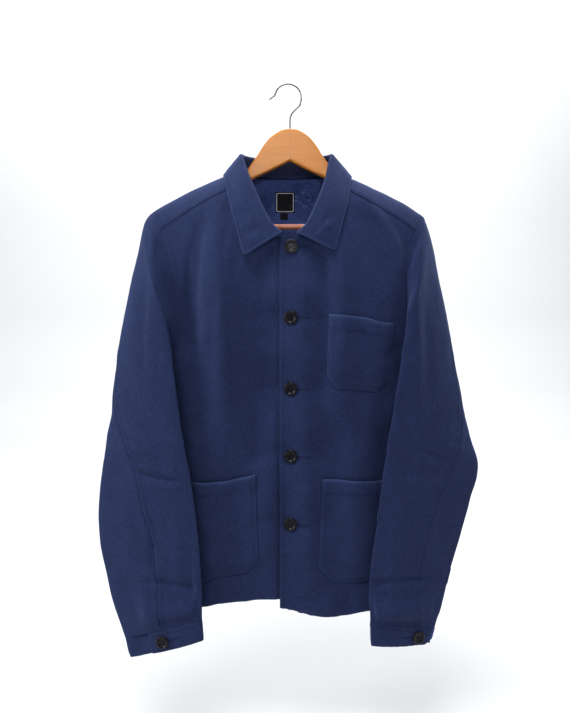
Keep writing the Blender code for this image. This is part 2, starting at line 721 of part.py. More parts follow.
def cuff_grid(side):
    cuff = CUFF_RIGHT if side == "right" else CUFF_LEFT
    length = 1 + CUFF_OVERLAP
    grid = []
    for share in (SEAM_GAP / CUFF_HEIGHT, 0.5, 1.0):
        line = []
        for i in range(CUFF_COLUMNS + 1):
            turn = length * i / CUFF_COLUMNS
            place, outward = cuff_place(side, cuff.overlap_at + turn, share)
            under = smooth_step(*CUFF_TUCK, turn)
            line.append(place - outward * under * (CUFF_WALL + LIE_GAP))
        grid.append(line if side == "left" else line[::-1])
    return grid


# ---------------------------------------------------------------- collar

def collar_profile(station):
    """From the neck seam up the stand, over the roll and down the leaf to the free edge."""
    roll = Vector((station.roll_x, station.roll_y, station.roll_z)) * MM
    neck_spot = spot(station.neck_x * MM, path=station.neck_path * MM)
    edge_spot = spot(station.edge_x * MM, path=station.edge_path * MM)
    neck = torso(*neck_spot) + torso_normal(*neck_spot) * STAND_LIFT
    edge = torso(*edge_spot) + torso_normal(*edge_spot) * EDGE_LIFT
    if station.roll_x > 0:
        neck.y -= CLOSURE_LIFT * (1 - smooth_step(*CLOSURE_FADE, neck.x)) * (neck.y < 0)
    back_share = smooth_step(*ROLL_FADE, station.roll_y)
    radius = ROLL_RADIUS_FRONT + (ROLL_RADIUS_BACK - ROLL_RADIUS_FRONT) * back_share
    inward = Vector((CENTRE_X - roll.x, NECK_MIDDLE_Y - roll.y, 0)).normalized()
    off_ridge = smooth_step(10 * MM, 70 * MM, abs(edge_spot[1]))
    bulge = torso_normal(*edge_spot) * (LEAF_BULGE[0] + (LEAF_BULGE[1] - LEAF_BULGE[0]) * off_ridge)
    inner = roll + inward * radius
    outer = roll - inward * radius
    up = Vector((0, 0, radius * 0.8))
    neck += (inner - neck).normalized() * STAND_GAP
    points = [neck, neck.lerp(inner, 0.5), inner, roll + inward * radius * 0.6 + up * 0.7,
              roll + up, roll - inward * radius * 0.6 + up * 0.7, outer]
    for share in (0.33, 0.67, 1.0):
        points.append(outer.lerp(edge, share) + bulge * math.sin(math.pi * share))
    return points


# ---------------------------------------------------------------- small pieces

def pocket_grid(row, panel):
    """The outer face of a patch pocket, set on the panel's facets."""
    chamfer = row.chamfer * MM
    height = (row.left_top - row.left_low) * MM
    shares = POCKET_ROWS + [1 - chamfer / height, 1.0]
    grid = []
    for v in shares:
        cut = chamfer if v == 1.0 else 0
        left = Vector((row.left_x, row.left_top)).lerp(Vector((row.left_low_x, row.left_low)), v)
        right = Vector((row.right_x, row.right_top)).lerp(
            Vector((row.right_low_x, row.right_low)), v)
        line = []
        for i in range(POCKET_COLUMNS + 1):
            u = i / POCKET_COLUMNS
            flat = left.lerp(right, u) * MM
            flat.x += cut * (1 - 2 * u)
            place, outward = seat(panel, flat.x, flat.y)
            full = math.sin(math.pi * u) * math.sin(math.pi * (0.25 + 0.75 * v))
            lift = POCKET_LIFT + POCKET_WALL + POCKET_FULLNESS * full
            line.append(place + outward * lift)
        grid.append(line)
    return grid[::-1]


def label_grid(box, panel):
    """A small patch on the inside of the back panel, facing the front."""
    left, top, right, bottom = (value * MM for value in box)
    grid = []
    for z in (bottom, (top + bottom) / 2, top):
        line = []
        for x in (left, (left + right) / 2, right):
            place, _ = seat(panel, x, z, towards=-1)
            line.append(place - Vector((0, CLOTH_WALL + LIE_GAP + LABEL_WALL, 0)))
        grid.append(line)
    return grid


def button_mesh():
    """A rimmed button, turned about Z; its flat back is at z = 0."""
    radius, height = BUTTON_RADIUS, BUTTON_HEIGHT
    profile = [(0, height * 0.62), (radius * 0.64, height * 0.66), (radius * 0.74, height * 0.92),
               (radius * 0.87, height), (radius, height * 0.72), (radius * 0.98, height * 0.38),
               (radius * 0.84, 0), (0, 0)]
    mesh = bpy.data.meshes.new("button")
    mesh.from_pydata([(x, 0, z) for x, z in profile],
                     [(i, i + 1) for i in range(len(profile) - 1)], [])
    return mesh


def add_button(name, place, outward, mesh):
    item = bpy.data.objects.new(name, mesh)
    jacket.objects.link(item)
    item.location = place + outward * SEAM_GAP
    item.rotation_euler = outward.to_track_quat("Z", "Y").to_euler()
    turned = item.modifiers.new("Turned", "SCREW")
    turned.axis = "Z"
    turned.steps = 20
    turned.render_steps = 20
    turned.use_merge_vertices = True
    turned.merge_threshold = 0.00005
    return item


# ---------------------------------------------------------------- hanger

def arm_outline(side):
    sign = side_sign(side)
    top = list(ARM_TOP)
    for x in ARM_ON_RIDGE:
        top.append((x, (ridge_z(sign * x * MM) - HANGER_UNDER_RIDGE) / MM))
    return [(sign * x * MM, z * MM) for x, z in top + ARM_END + ARM_LOWER]


def board(name, outline, thickness, material):
    """A flat board in the XZ plane, cut to an outline."""
    data = bpy.data.curves.new(name, "CURVE")
    data.dimensions = "2D"
    data.fill_mode = "BOTH"
    data.extrude = thickness / 2
    spline = data.splines.new("POLY")
    spline.points.add(len(outline) - 1)
    for point, (x, z) in zip(spline.points, outline):
        point.co = (x, z, 0, 1)
    spline.use_cyclic_u = True
    flat = bpy.data.objects.new(name + "_outline", data)
    jacket.objects.link(flat)
    flat.rotation_euler = (math.pi / 2, 0, 0)
    bpy.context.view_layer.update()
    mesh = bpy.data.meshes.new_from_object(flat.evaluated_get(
        bpy.context.evaluated_depsgraph_get()))
    mesh.transform(flat.matrix_world)
    bpy.data.objects.remove(flat)
    shape = bmesh.new()
    shape.from_mesh(mesh)
    bmesh.ops.remove_doubles(shape, verts=shape.verts, dist=0.00002)
    bmesh.ops.recalc_face_normals(shape, faces=shape.faces)
    shape.to_mesh(mesh)
    shape.free()
    mesh.materials.clear()
    return add(name, mesh, material)


def rod(name, start, end, radius, sides):
    """A round rod between two points, as a mesh primitive."""
    middle = (start + end) / 2
    axis = end - start
    bpy.ops.mesh.primitive_cylinder_add(vertices=sides, radius=radius, depth=axis.length,
                                        location=middle)
    item = bpy.context.object
    item.name = name
    item.rotation_euler = axis.to_track_quat("Z", "Y").to_euler()
    for collection in list(item.users_collection):
        collection.objects.unlink(item)
    return item


def add_cutter(name, start, end, radius, sides):
    item = rod(name, start, end, radius, sides)
    cutters.objects.link(item)
    item.hide_render = True
    item.display_type = "WIRE"
    return item


def build_hanger():
    low, high = STEM_BORE_Z
    stem_cut = add_cutter("stem_cutter", Vector((0, 0, low)), Vector((0, 0, high)), WIRE_BORE, 12)
    bar_cut = add_cutter("bar_cutter", Vector((-BAR_HALF_LENGTH - SEAM_GAP, 0, BAR_Z)),
                         Vector((BAR_HALF_LENGTH + SEAM_GAP, 0, BAR_Z)), BAR_BORE, 20)
    for side in ("right", "left"):
        outline = arm_outline(side)
        middle = side_sign(side) * SEAM_GAP / 2
        outline = [(x if abs(x) > 1 * MM else middle, z) for x, z in outline]
        arm = board("hanger_arm_" + side, outline, HANGER_THICKNESS, "amber_wood")
        rounded = arm.modifiers.new("Rounded", "BEVEL")
        rounded.width = 3.2 * MM
        rounded.segments = 2
        rounded.limit_method = "ANGLE"
        rounded.angle_limit = math.radians(50)
        for cutter in (stem_cut, bar_cut):
            bore = arm.modifiers.new("Bore", "BOOLEAN")
            bore.operation = "DIFFERENCE"
            bore.object = cutter
    bar = rod("trouser_bar", Vector((-BAR_HALF_LENGTH, 0, BAR_Z)),
              Vector((BAR_HALF_LENGTH, 0, BAR_Z)), BAR_RADIUS, 18)
    jacket.objects.link(bar)
    bar.data.materials.append(materials["salmon_bar"])


def hook_route():
    points = [Vector((x, 0, z)) * MM for x, z in HOOK_STEM]
    first, last = HOOK_ARC
    for k in range(9):
        angle = math.radians(first + (last - first) * k / 8)
        points.append(Vector((HOOK_CENTRE[0] + HOOK_RADIUS * math.cos(angle), 0,
                              HOOK_CENTRE[1] + HOOK_RADIUS * math.sin(angle))))
    points += [Vector((x, 0, z)) * MM for x, z in HOOK_TIP]
    return points


def build_hook():
    route = along(hook_route(), 34)
    data = bpy.data.curves.new("hook", "CURVE")
    data.dimensions = "3D"
    data.bevel_depth = WIRE_RADIUS
    data.bevel_resolution = 2
    data.use_fill_caps = True
    spline = data.splines.new("POLY")
    spline.points.add(len(route) - 1)
    for point, place in zip(spline.points, route):
        point.co = (*place, 1)
    add("hook", data, "hook_steel")


# ---------------------------------------------------------------- assembly

def build_body():
    grids = {"back": back_grid(), "front_right": front_grid("right"),
             "front_left": front_grid("left")}
    for name, grid in grids.items():
        cloth(name, grid, CLOTH_WALL, "navy_twill")
    return {name: surface(grid) for name, grid in grids.items()}


def build_sleeves():
    for side in ("right", "left"):
        upper, under = sleeve_grids(side)
        cloth("sleeve_upper_" + side, upper, CLOTH_WALL, "navy_twill")
        cloth("sleeve_under_" + side, under, CLOTH_WALL, "navy_twill")
        cloth("cuff_" + side, cuff_grid(side), CUFF_WALL, "navy_twill")


def build_collar():
    profiles = [collar_profile(station) for station in COLLAR]
    cloth("collar", [list(line) for line in zip(*profiles)][::-1], COLLAR_WALL, "navy_twill")


def build_patches(panels):
    for row in POCKETS:
        cloth(row.name, pocket_grid(row, panels[row.front]), POCKET_WALL, "navy_twill")
    cloth("label", label_grid(LABEL_BOX, panels["back"]), LABEL_WALL, "woven_label")
    cloth("size_tab", label_grid(SIZE_TAB_BOX, panels["back"]), LABEL_WALL, "woven_label")


def build_buttons(panels):
    mesh = button_mesh()
    mesh.materials.append(materials["dark_button"])
    for number, z in enumerate(BUTTON_Z, start=1):
        place, outward = seat(panels["front_left"], BUTTON_X, z)
        add_button(f"button_front_{number}", place, outward, mesh)
    for side, cuff in (("right", CUFF_RIGHT), ("left", CUFF_LEFT)):
        place, outward = cuff_place(side, cuff.button_at, CUFF_BUTTON_SHARE)
        add_button("button_cuff_" + side, place, outward, mesh)


def main():
    panels = build_body()
    build_collar()
    build_sleeves()
    build_patches(panels)
    build_buttons(panels)
    build_hanger()
    build_hook()


clear_scene()
jacket = bpy.data.collections.new("chore_jacket")
bpy.context.scene.collection.children.link(jacket)
cutters = bpy.data.collections.new("cutters")
bpy.context.scene.collection.children.link(cutters)
materials = {name: make_material(name) for name in MATERIALS}
main()
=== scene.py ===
import math
from functools import partial

import bmesh
import bpy
import numpy as np
from mathutils import Matrix, Vector
from mathutils.bvhtree import BVHTree
from mathutils.kdtree import KDTree


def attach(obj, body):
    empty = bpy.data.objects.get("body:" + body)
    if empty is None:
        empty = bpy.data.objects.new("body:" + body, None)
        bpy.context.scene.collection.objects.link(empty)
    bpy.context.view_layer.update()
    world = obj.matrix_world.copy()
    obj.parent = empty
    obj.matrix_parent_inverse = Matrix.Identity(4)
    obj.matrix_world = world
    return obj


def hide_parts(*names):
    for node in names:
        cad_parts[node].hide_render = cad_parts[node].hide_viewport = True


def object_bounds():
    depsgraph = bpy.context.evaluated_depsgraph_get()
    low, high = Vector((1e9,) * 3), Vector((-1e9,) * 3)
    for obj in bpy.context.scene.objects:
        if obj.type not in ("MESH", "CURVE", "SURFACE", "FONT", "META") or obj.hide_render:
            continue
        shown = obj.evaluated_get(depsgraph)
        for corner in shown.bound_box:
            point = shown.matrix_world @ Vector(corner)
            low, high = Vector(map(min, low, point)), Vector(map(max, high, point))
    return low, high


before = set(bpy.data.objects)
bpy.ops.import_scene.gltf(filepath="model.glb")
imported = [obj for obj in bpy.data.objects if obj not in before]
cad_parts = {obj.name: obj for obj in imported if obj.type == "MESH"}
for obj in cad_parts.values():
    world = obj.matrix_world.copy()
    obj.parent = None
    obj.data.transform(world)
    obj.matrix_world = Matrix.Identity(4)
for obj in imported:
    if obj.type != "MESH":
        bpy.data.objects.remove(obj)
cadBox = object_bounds()
mm = 0.001

# Lengths in the tables are millimetres, everything else is metres.
# Sides are the wearer's: left is at +X, the jacket faces -Y and hangs from the origin.


# number tools

def smoothStep(low, high, value):
    t = np.clip((value - low) / (high - low), 0, 1)
    return t * t * (3 - 2 * t)


def unit(vectors):
    return vectors / np.maximum(np.linalg.norm(vectors, axis=-1, keepdims=True), 1e-12)


def readTable(rows, column, at):  # a column of a table, smooth between its rows
    table = np.array(rows, float)
    if table[0, 0] > table[-1, 0]:
        table = table[::-1]
    keys, values = table[:, 0], table[:, column]
    return hermite(keys, values[:, None], np.clip(at, keys[0], keys[-1]).ravel())[:, 0].reshape(
        np.shape(at))


def hermite(keys, values, at):  # values: one row a key
    last = len(keys) - 1
    low, high = np.clip(np.arange(last + 1) - 1, 0, last), np.clip(np.arange(last + 1) + 1, 0, last)
    shape = (-1,) + (1,) * (values.ndim - 1)
    slopes = (values[high] - values[low]) / (keys[high] - keys[low]).reshape(shape)
    k = np.clip(np.searchsorted(keys, at, side="right") - 1, 0, last - 1)
    span = (keys[k + 1] - keys[k]).reshape(shape)
    t = ((at - keys[k]) / (keys[k + 1] - keys[k])).reshape(shape)
    return (values[k] * (2 * t ** 3 - 3 * t ** 2 + 1) + values[k + 1] * (3 * t ** 2 - 2 * t ** 3)
            + span * (slopes[k] * (t ** 3 - 2 * t ** 2 + t) + slopes[k + 1] * (t ** 3 - t ** 2)))


def catmull(points, at, closed=False):
    points = np.asarray(points, float)
    count = len(points)
    k = np.floor(at).astype(int) if closed else np.clip(np.floor(at).astype(int), 0, count - 2)
    p0, p1, p2, p3 = (points[(k + i) % count if closed else np.clip(k + i, 0, count - 1)]
                      for i in (-1, 0, 1, 2))
    t = (at - k).reshape((-1,) + (1,) * (points.ndim - 1))
    return 0.5 * (2 * p1 + (p2 - p0) * t + (2 * p0 - 5 * p1 + 4 * p2 - p3) * t * t
                  + (3 * p1 - p0 - 3 * p2 + p3) * t ** 3)


def mixed(pair, share):
    return pair[0] + (pair[1] - pair[0]) * share


def lengthsAlong(points):
    return np.concatenate([[0], np.cumsum(np.linalg.norm(np.diff(points, axis=0), axis=1))])


def atShares(points, shares, place=None):  # the smooth curve at shares of its real length
    fine = catmull(points, np.linspace(0, len(points) - 1, 24 * (len(points) - 1) + 1))
    length = lengthsAlong(place(fine) if place else fine)
    goal = np.asarray(shares) * length[-1]
    return np.stack([np.interp(goal, length, fine[:, i]) for i in range(fine.shape[1])], axis=1)


def spread(length, step, fineStart=True, fineEnd=True):
    # shares of a length, close together near an edge where the cloth rolls and is stitched
    near = np.array([0, 0.25, 0.7, 1.3, 2.1, 3.1, 4.2, 5.3, 6.4, 7.6, 9.2, 11.4]) * mm
    start = near if fineStart else np.array([0.0])
    end = near if fineEnd else np.array([0.0])
    count = max(int(round((length - start[-1] - end[-1]) / step)), 1)
    middle = np.linspace(start[-1], length - end[-1], count + 1)[1:-1]
    return np.concatenate([start, middle, (length - end)[::-1]]) / length


def joinShares(parts, weights):  # several stretches of shares, as one run from 0 to 1
    ends = np.cumsum([0] + list(weights)) / sum(weights)
    runs = [ends[i] + part * (ends[i + 1] - ends[i]) for i, part in enumerate(parts)]
    return np.concatenate([runs[0]] + [run[1:] for run in runs[1:]])


def waviness(u, v, sizeU, sizeV, seed):  # soft random swells, from about -1 to 1
    lattice = np.random.default_rng(seed).uniform(-1, 1, (96, 96))
    x, y = u / sizeU + 31.7, v / sizeV + 47.3
    i, j = np.floor(x).astype(int), np.floor(y).astype(int)
    fx, fy = x - i, y - j
    sx, sy = fx * fx * (3 - 2 * fx), fy * fy * (3 - 2 * fy)
    corner = [[lattice[(i + a) % 96, (j + b) % 96] for b in (0, 1)] for a in (0, 1)]
    low = corner[0][0] * (1 - sx) + corner[1][0] * sx
    high = corner[0][1] * (1 - sx) + corner[1][1] * sx
    return low * (1 - sy) + high * sy


# the body of the jacket, as one surface: across is -1 at the right side seam and 1 at the left
# one, path is 0 on the shoulder ridge, grows down the front and falls down the back

body = {
    "middleX": -5 * mm,
    "ridgeRound": 45 * mm,
    "sideSquareness": 2.45,
    "underarmZ": -416 * mm,
    "sideHemZ": -803 * mm,
    "sideX": 205 * mm,
    "frontEdgeX": -15.5 * mm,
    "underEdgeX": 16 * mm,
    "closureLift": 1.9 * mm,
    "closureFade": (30 * mm, 85 * mm),
    "rowSlope": 75 * mm,
    "armholeTopX": 209 * mm,
    "wall": 1.0 * mm,
    "creaseGain": 1.9,
    "longSwell": 1.0 * mm,
    "smallSwell": 0.5 * mm,
    "seamCover": 0.45 * mm,
    "underEdgeDip": 1.6 * mm,
    "hemDepth": 25 * mm,
    "edgeStitch": 6.4 * mm,
    "armholeStitch": 6.4 * mm,
    "shoulderStitches": (1.5 * mm, 7.2 * mm),
    "runs": {  # rough lengths of the edges, which set how many rows a grid has
        "side": 387 * mm, "shoulder": 130 * mm, "frontArm": 235 * mm, "backArm": 300 * mm,
        "frontNeck": 110 * mm, "backNeck": 230 * mm},
    "ridge": [  # x, z
        (-220, -197), (-206, -186), (-182, -172.5), (-157, -159.5), (-131, -147.5), (-106, -136.7),
        (-84, -129), (-45, -120), (0, -117), (40, -120), (76, -131), (95, -139), (126, -152),
        (172, -174), (192, -186.5), (210, -199.5)],
    "levels": [  # drop below the ridge, half width, front depth, back depth
        (0, 227, 26, 22), (45, 221, 36, 28), (100, 214, 47, 33), (180, 209, 53, 36),
        (260, 206, 55, 38), (400, 206, 55, 40), (560, 206, 54, 40), (720, 207, 53, 40)],
    "armhole": [  # z, from the middle: right front, right back, left front, left back
        (-412, 190, 202, 190, 202), (-403, 179, 199, 182, 199), (-384, 169.5, 195, 179, 195),
        (-358, 166, 192, 180, 192), (-322, 166, 191, 181, 191), (-286, 169.5, 193, 179, 193),
        (-262, 173.5, 196, 178, 196), (-241, 181.5, 200, 181.5, 200), (-218, 190, 205, 192.5, 203)],
    "shoulderSeam": {
        "right": [(-80, -152), (-101, -162.5), (-133, -179), (-165, -198), (-195, -218)],
        "left": [(76, -153), (94, -162.5), (129, -181.5), (163.5, -202), (187.5, -218)]},
    "neckline": {
        "right": [(16, -233), (-13, -228), (-32, -220), (-52, -203), (-69, -178), (-80, -152)],
        "left": [(-15.5, -230.5), (-4, -227), (10, -222), (26, -218), (46, -203), (64, -180),
                 (76, -153)]},
    "backNeck": [(-84, 0), (-77, -13), (-48, -23.5), (-4, -27), (41, -23.5), (73, -13), (81, 0)],
    "hem": {
        "right": [(16, -785), (-14, -784), (-46, -784), (-98, -791), (-138, -800.5), (-180, -803)],
        "left": [(-14, -796), (4, -800), (23, -805.5), (46, -811), (66, -812.5), (86, -811),
                 (124, -805.5), (175, -803)],
        "back": [(-180, -803), (-120, -800), (-60, -798), (0, -797), (60, -798), (120, -801),
                 (170, -803)]},
}
middleX = body["middleX"]
signOf = {"right": -1, "left": 1}

# the large folds, which the solids have too: face, from x z, to x z, width, lift
largeFolds = [
    ("front", -108, -185, -134, -430, 13, 5.0), ("front", -132, -205, -158, -405, 12, -4.5),
    ("front", -88, -235, -72, -430, 20, -3.0), ("front", 124, -185, 164, -285, 10, 5.0),
    ("front", 103, -185, 150, -285, 11, -4.0), ("front", -96, -470, -82, -790, 26, 3.0),
    ("front", 62, -470, 74, -800, 26, -3.0), ("front", 112, -480, 120, -800, 24, 3.0),
    ("back", -118, -200, -142, -520, 22, 4.5), ("back", 104, -210, 136, -480, 20, 4.0),
    ("back", -60, -240, -46, -640, 26, -3.5), ("back", 52, -230, 30, -790, 30, -4.0),
    ("back", -100, -560, -92, -795, 24, 3.0)]

# smaller creases on the hanging garment: width, lift, then x and z of each point of the line
creases = {
    "front": [
        (17, 5, -92, -205, -104, -300, -104, -400, -98, -520),
        (20, 3.8, -94, -222, -90, -360, -92, -540), (24, -4.4, -42, -226, -36, -360, -38, -590),
        (14, -2, -150, -250, -146, -350, -142, -440),
        (19, 3.4, 72, -230, 84, -300, 80, -430, 74, -540), (17, -2.6, 90, -250, 96, -350, 98, -470),
        (16, 2.4, 22, -230, 20, -440, 22, -760), (14, -3, 48, -226, 52, -330, 48, -440),
        (15, 2, -76, -234, -10, -242, 66, -234), (18, -1.5, -66, -284, 0, -290, 74, -288),
        (15, -1.8, -40, -240, 8, -243, 50, -246), (17, -2.5, -60, -342, 4, -348, 64, -354),
        (17, -2.5, -60, -448, 4, -454, 66, -462), (17, -2.4, -60, -552, 4, -557, 66, -564),
        (16, -2, -54, -657, 4, -662, 60, -668), (17, 1.6, -52, -296, 8, -300, 60, -306),
        (17, 1.6, -52, -400, 8, -404, 60, -410), (17, 1.5, -52, -505, 8, -508, 60, -514),
        (17, 1.4, -52, -608, 8, -612, 60, -616), (20, 2.4, -30, -540, -40, -640, -34, -760),
        (18, 2.6, 30, -560, 26, -680, 34, -790), (22, 2.2, -120, -480, -132, -600, -126, -780),
        (18, -2.2, -78, -560, -84, -660, -80, -780), (20, 2, 96, -520, 90, -620, 96, -780),
        (20, -2, 148, -470, 150, -600, 146, -780), (7, 1, -52, -208, -70, -262, -78, -330),
        (6, -1.1, -88, -196, -98, -250, -96, -330), (5, 0.9, -118, -210, -128, -270, -131, -350),
        (5, -0.9, -148, -228, -152, -290, -149, -350), (6, 0.5, -165, -330, -146, -346, -128, -350),
        (7, -0.6, -168, -372, -144, -388, -120, -390), (8, 0.6, -172, -402, -142, -418, -112, -414),
        (11, 0.7, -186, -520, -150, -530, -112, -522), (10, 0.8, -28, -300, -38, -360, -34, -440),
        (12, -0.9, -60, -440, -52, -520, -58, -600), (12, 0.8, -118, -470, -126, -540, -120, -600),
        (10, 0.7, -30, -560, -26, -640, -34, -760), (11, -0.9, -160, -620, -164, -700, -158, -790),
        (9, 1.1, -70, -752, -66, -780, -72, -800), (8, -1.1, -120, -764, -116, -790, -118, -806),
        (7, 0.9, 42, -215, 60, -262, 66, -320), (6, 0.9, 84, -196, 104, -244, 126, -290),
        (6, -2.2, 122, -196, 142, -236, 156, -276), (6, 1.8, 146, -206, 164, -252, 172, -306),
        (9, -0.7, 26, -268, 30, -330, 24, -400), (8, -0.8, 176, -380, 150, -404, 122, -408),
        (10, 1, 182, -430, 160, -470, 150, -520), (10, -0.9, 98, -470, 104, -520, 96, -590),
        (12, 0.8, 34, -470, 28, -540, 36, -620), (10, -0.7, 22, -600, 20, -680, 26, -790),
        (12, 0.9, 150, -600, 158, -680, 152, -790), (9, 1.2, 58, -770, 62, -792, 60, -812),
        (8, -1, 96, -768, 92, -790, 96, -808), (8, 0.9, 128, -766, 134, -788, 132, -806),
        (5, 0.6, 12, -250, 40, -262, 70, -280), (5, 0.6, 12, -354, 38, -364, 64, -362),
        (7, 0.7, -20, -352, -50, -366, -76, -366), (7, 0.7, -20, -560, -50, -574, -78, -572)],
    "back": [
        (13, 2.6, -64, -176, -88, -270, -104, -400, -100, -520),
        (12, -2.4, -96, -200, -120, -300, -130, -420),
        (13, 2.4, 62, -180, 84, -260, 98, -380, 94, -500),
        (12, -2.4, 94, -206, 116, -300, 126, -430),
        (15, -2.6, -20, -160, -30, -260, -22, -380, -30, -500),
        (14, 2.2, 24, -190, 16, -300, 26, -420, 20, -560),
        (8, 1.5, -186, -300, -150, -330, -110, -340), (8, 1.5, 182, -310, 146, -346, 104, -350),
        (9, -1.8, -192, -380, -156, -410, -112, -416), (9, -1.8, 188, -372, 152, -400, 112, -404),
        (9, 1.4, -190, -440, -160, -470, -130, -478), (9, 1.4, 186, -436, 158, -470, 128, -474),
        (17, 2.6, -64, -420, -70, -540, -58, -690, -64, -800),
        (17, -2.6, 66, -440, 76, -560, 66, -690, 72, -800),
        (17, 2.2, -10, -500, 2, -620, -6, -720, 0, -800),
        (15, -2.4, -150, -540, -156, -670, -150, -800), (15, 2.4, 148, -520, 154, -650, 148, -800),
        (12, -1.8, 110, -600, 114, -700, 108, -800), (12, 1.6, -110, -600, -106, -700, -112, -800),
        (11, 1.6, -40, -730, -36, -770, -40, -800), (11, -1.6, 44, -736, 40, -770, 46, -800)],
}


def dropFromPath(path):
    path = np.abs(path)
    bend = body["ridgeRound"] * (1 - np.cos(math.pi / 2 * path / body["ridgeRound"]))
    return np.where(path >= body["ridgeRound"], path, bend)


def pathFromDrop(drop):
    reach = body["ridgeRound"]
    bend = reach * np.arccos(np.clip(1 - np.maximum(drop, 0) / reach, -1, 1)) / (math.pi / 2)
    return np.where(drop >= reach, drop, bend)


def ridgeHeight(x):
    return readTable(body["ridge"], 1, x / mm) * mm


def halfWidth(path):
    return readTable(body["levels"], 1, dropFromPath(path) / mm) * mm


def largeFoldLift(face, x, z):
    lift = np.zeros_like(x)
    for foldFace, xTop, zTop, xLow, zLow, width, height in largeFolds:
        if foldFace != face:
            continue
        top, line = np.array([xTop, zTop]) * mm, np.array([xLow - xTop, zLow - zTop]) * mm
        share = ((x - top[0]) * line[0] + (z - top[1]) * line[1]) / line.dot(line)
        nearest = np.clip(share, 0, 1)
        side = np.hypot(x - top[0] - line[0] * nearest,
                        z - top[1] - line[1] * nearest) / (width * mm)
        ends = smoothStep(-0.12, 0.2, share) * (1 - smoothStep(0.7, 1.1, share))
        lift += height * mm * np.exp(-side * side) * ends
    return lift


def bodyPoint(places):  # places: (across, path) in the last axis
    across, path = places[..., 0], places[..., 1]
    share = np.sin(across * math.pi / 2)
    x = middleX + halfWidth(path) * share
    drop = dropFromPath(path)
    z = ridgeHeight(x) - drop
    turn = np.sin(math.pi / 2 * np.minimum(np.abs(path) / body["ridgeRound"], 1))
    square = body["sideSquareness"]
    side = np.maximum(1 - np.abs(share) ** square, 0) ** (1 / square)
    frontDepth, backDepth = ((readTable(body["levels"], column, drop / mm) * mm * side
                              + largeFoldLift(face, x, z) * np.minimum(side * 2, 1)) * turn
                             for column, face in ((2, "front"), (3, "back")))
    return np.stack([x, np.where(path >= 0, -frontDepth, backDepth), z], axis=-1)


def bodyNormal(places):
    step = 0.002
    low = np.array(places, float)
    low[..., 0] = np.clip(low[..., 0] - step, -0.999, 0.999 - 2 * step)
    high = low.copy()
    high[..., 0] += 2 * step
    over = bodyPoint(high) - bodyPoint(low)
    up, down = np.array(places, float), np.array(places, float)
    up[..., 1] -= step
    down[..., 1] += step
    return unit(np.cross(bodyPoint(down) - bodyPoint(up), over))


def spot(x, z=None, path=None, face=1):
    if path is None:
        path = face * pathFromDrop(ridgeHeight(x) - z)
    share = np.clip((x - middleX) / halfWidth(path), -1, 1)
    return np.stack([np.arcsin(share) * 2 / math.pi, path], axis=-1)


def spots(rows, face=1):
    rows = np.array(rows, float) * mm
    return spot(rows[:, 0], rows[:, 1], face=face)


flatAcross = np.linspace(-1, 1, 201)
flatPath = np.linspace(-0.75, 0.75, 151)


def measureBody():  # length along the cloth from the middle, at each height
    grid = np.stack(np.meshgrid(flatAcross, flatPath, indexing="ij"), axis=-1)
    points = bodyPoint(grid)
    steps = np.linalg.norm(np.diff(points, axis=0), axis=-1)
    run = np.concatenate([np.zeros((1, len(flatPath))), np.cumsum(steps, axis=0)])
    return run - run[100]


bodyRun = measureBody()


def clothPlace(places):  # where a place lies on the flat cloth, for the weave
    across, path = places[..., 0], places[..., 1]
    a = np.clip((across + 1) / 2 * 200, 0, 199.999)
    p = np.clip((path + 0.75) / 1.5 * 150, 0, 149.999)
    i, j = a.astype(int), p.astype(int)
    fa, fp = a - i, p - j
    run = ((bodyRun[i, j] * (1 - fa) + bodyRun[i + 1, j] * fa) * (1 - fp)
           + (bodyRun[i, j + 1] * (1 - fa) + bodyRun[i + 1, j + 1] * fa) * fp)
    return np.stack([run, -path], axis=-1)


def creaseLift(points, rows):
    x, z = points[..., 0].ravel(), points[..., 2].ravel()
    lift = np.zeros_like(x)
    for width, height, *line in rows:
        line = np.array(line, float).reshape(-1, 2) * mm
        line = catmull(line, np.linspace(0, len(line) - 1, 13))
        width = width * mm
        low, high = line.min(axis=0) - 3 * width, line.max(axis=0) + 3 * width
        near = np.nonzero((x > low[0]) & (x < high[0]) & (z > low[1]) & (z < high[1]))[0]
        if not len(near):
            continue
        best, share = np.full(len(near), 1.0), np.zeros(len(near))
        for k in range(12):
            start, step = line[k], line[k + 1] - line[k]
            t = np.clip(((x[near] - start[0]) * step[0] + (z[near] - start[1]) * step[1])
                        / step.dot(step), 0, 1)
            gap = np.hypot(x[near] - start[0] - step[0] * t, z[near] - start[1] - step[1] * t)
            closer = gap < best
            best[closer] = gap[closer]
            share[closer] = ((k + t) / 12)[closer]
        ends = smoothStep(0, 0.35, share) * (1 - smoothStep(0.6, 1, share))
        lift[near] += height * mm * np.exp(-(best / width) ** 2) * (0.15 + 0.85 * ends) * (
            1 - smoothStep(2 * width, 3 * width, best))
    return lift.reshape(points.shape[:-1])


def closureLift(x):  # how far the left front stands off, where it closes on top
    return body["closureLift"] * (1 - smoothStep(*body["closureFade"], x))


def bodySurface(places, side, raised=0.0):  # the cloth's outer face, with all its creases
    points, normals = bodyPoint(places), bodyNormal(places)
    u, v = np.moveaxis(clothPlace(places), -1, 0)
    lift = np.where(places[..., 1] > 0, creaseLift(points, creases["front"]),
                    creaseLift(points, creases["back"]))
    calm = smoothStep(0, 40 * mm, np.abs(places[..., 1]))
    lift = lift * calm * body["creaseGain"]
    lift += body["longSwell"] * calm * waviness(u, v, 30 * mm, 160 * mm, 3)
    lift += body["smallSwell"] * waviness(u, v, 17 * mm, 24 * mm, 5)
    lift *= np.clip(4 * (1 - np.abs(places[..., 0])), 0, 1)  # nothing on the side seams
    points = points + normals * (lift + raised)[..., None]
    if side == "left":
        points[..., 1] -= closureLift(points[..., 0])
    return points, normals


# cloth pieces

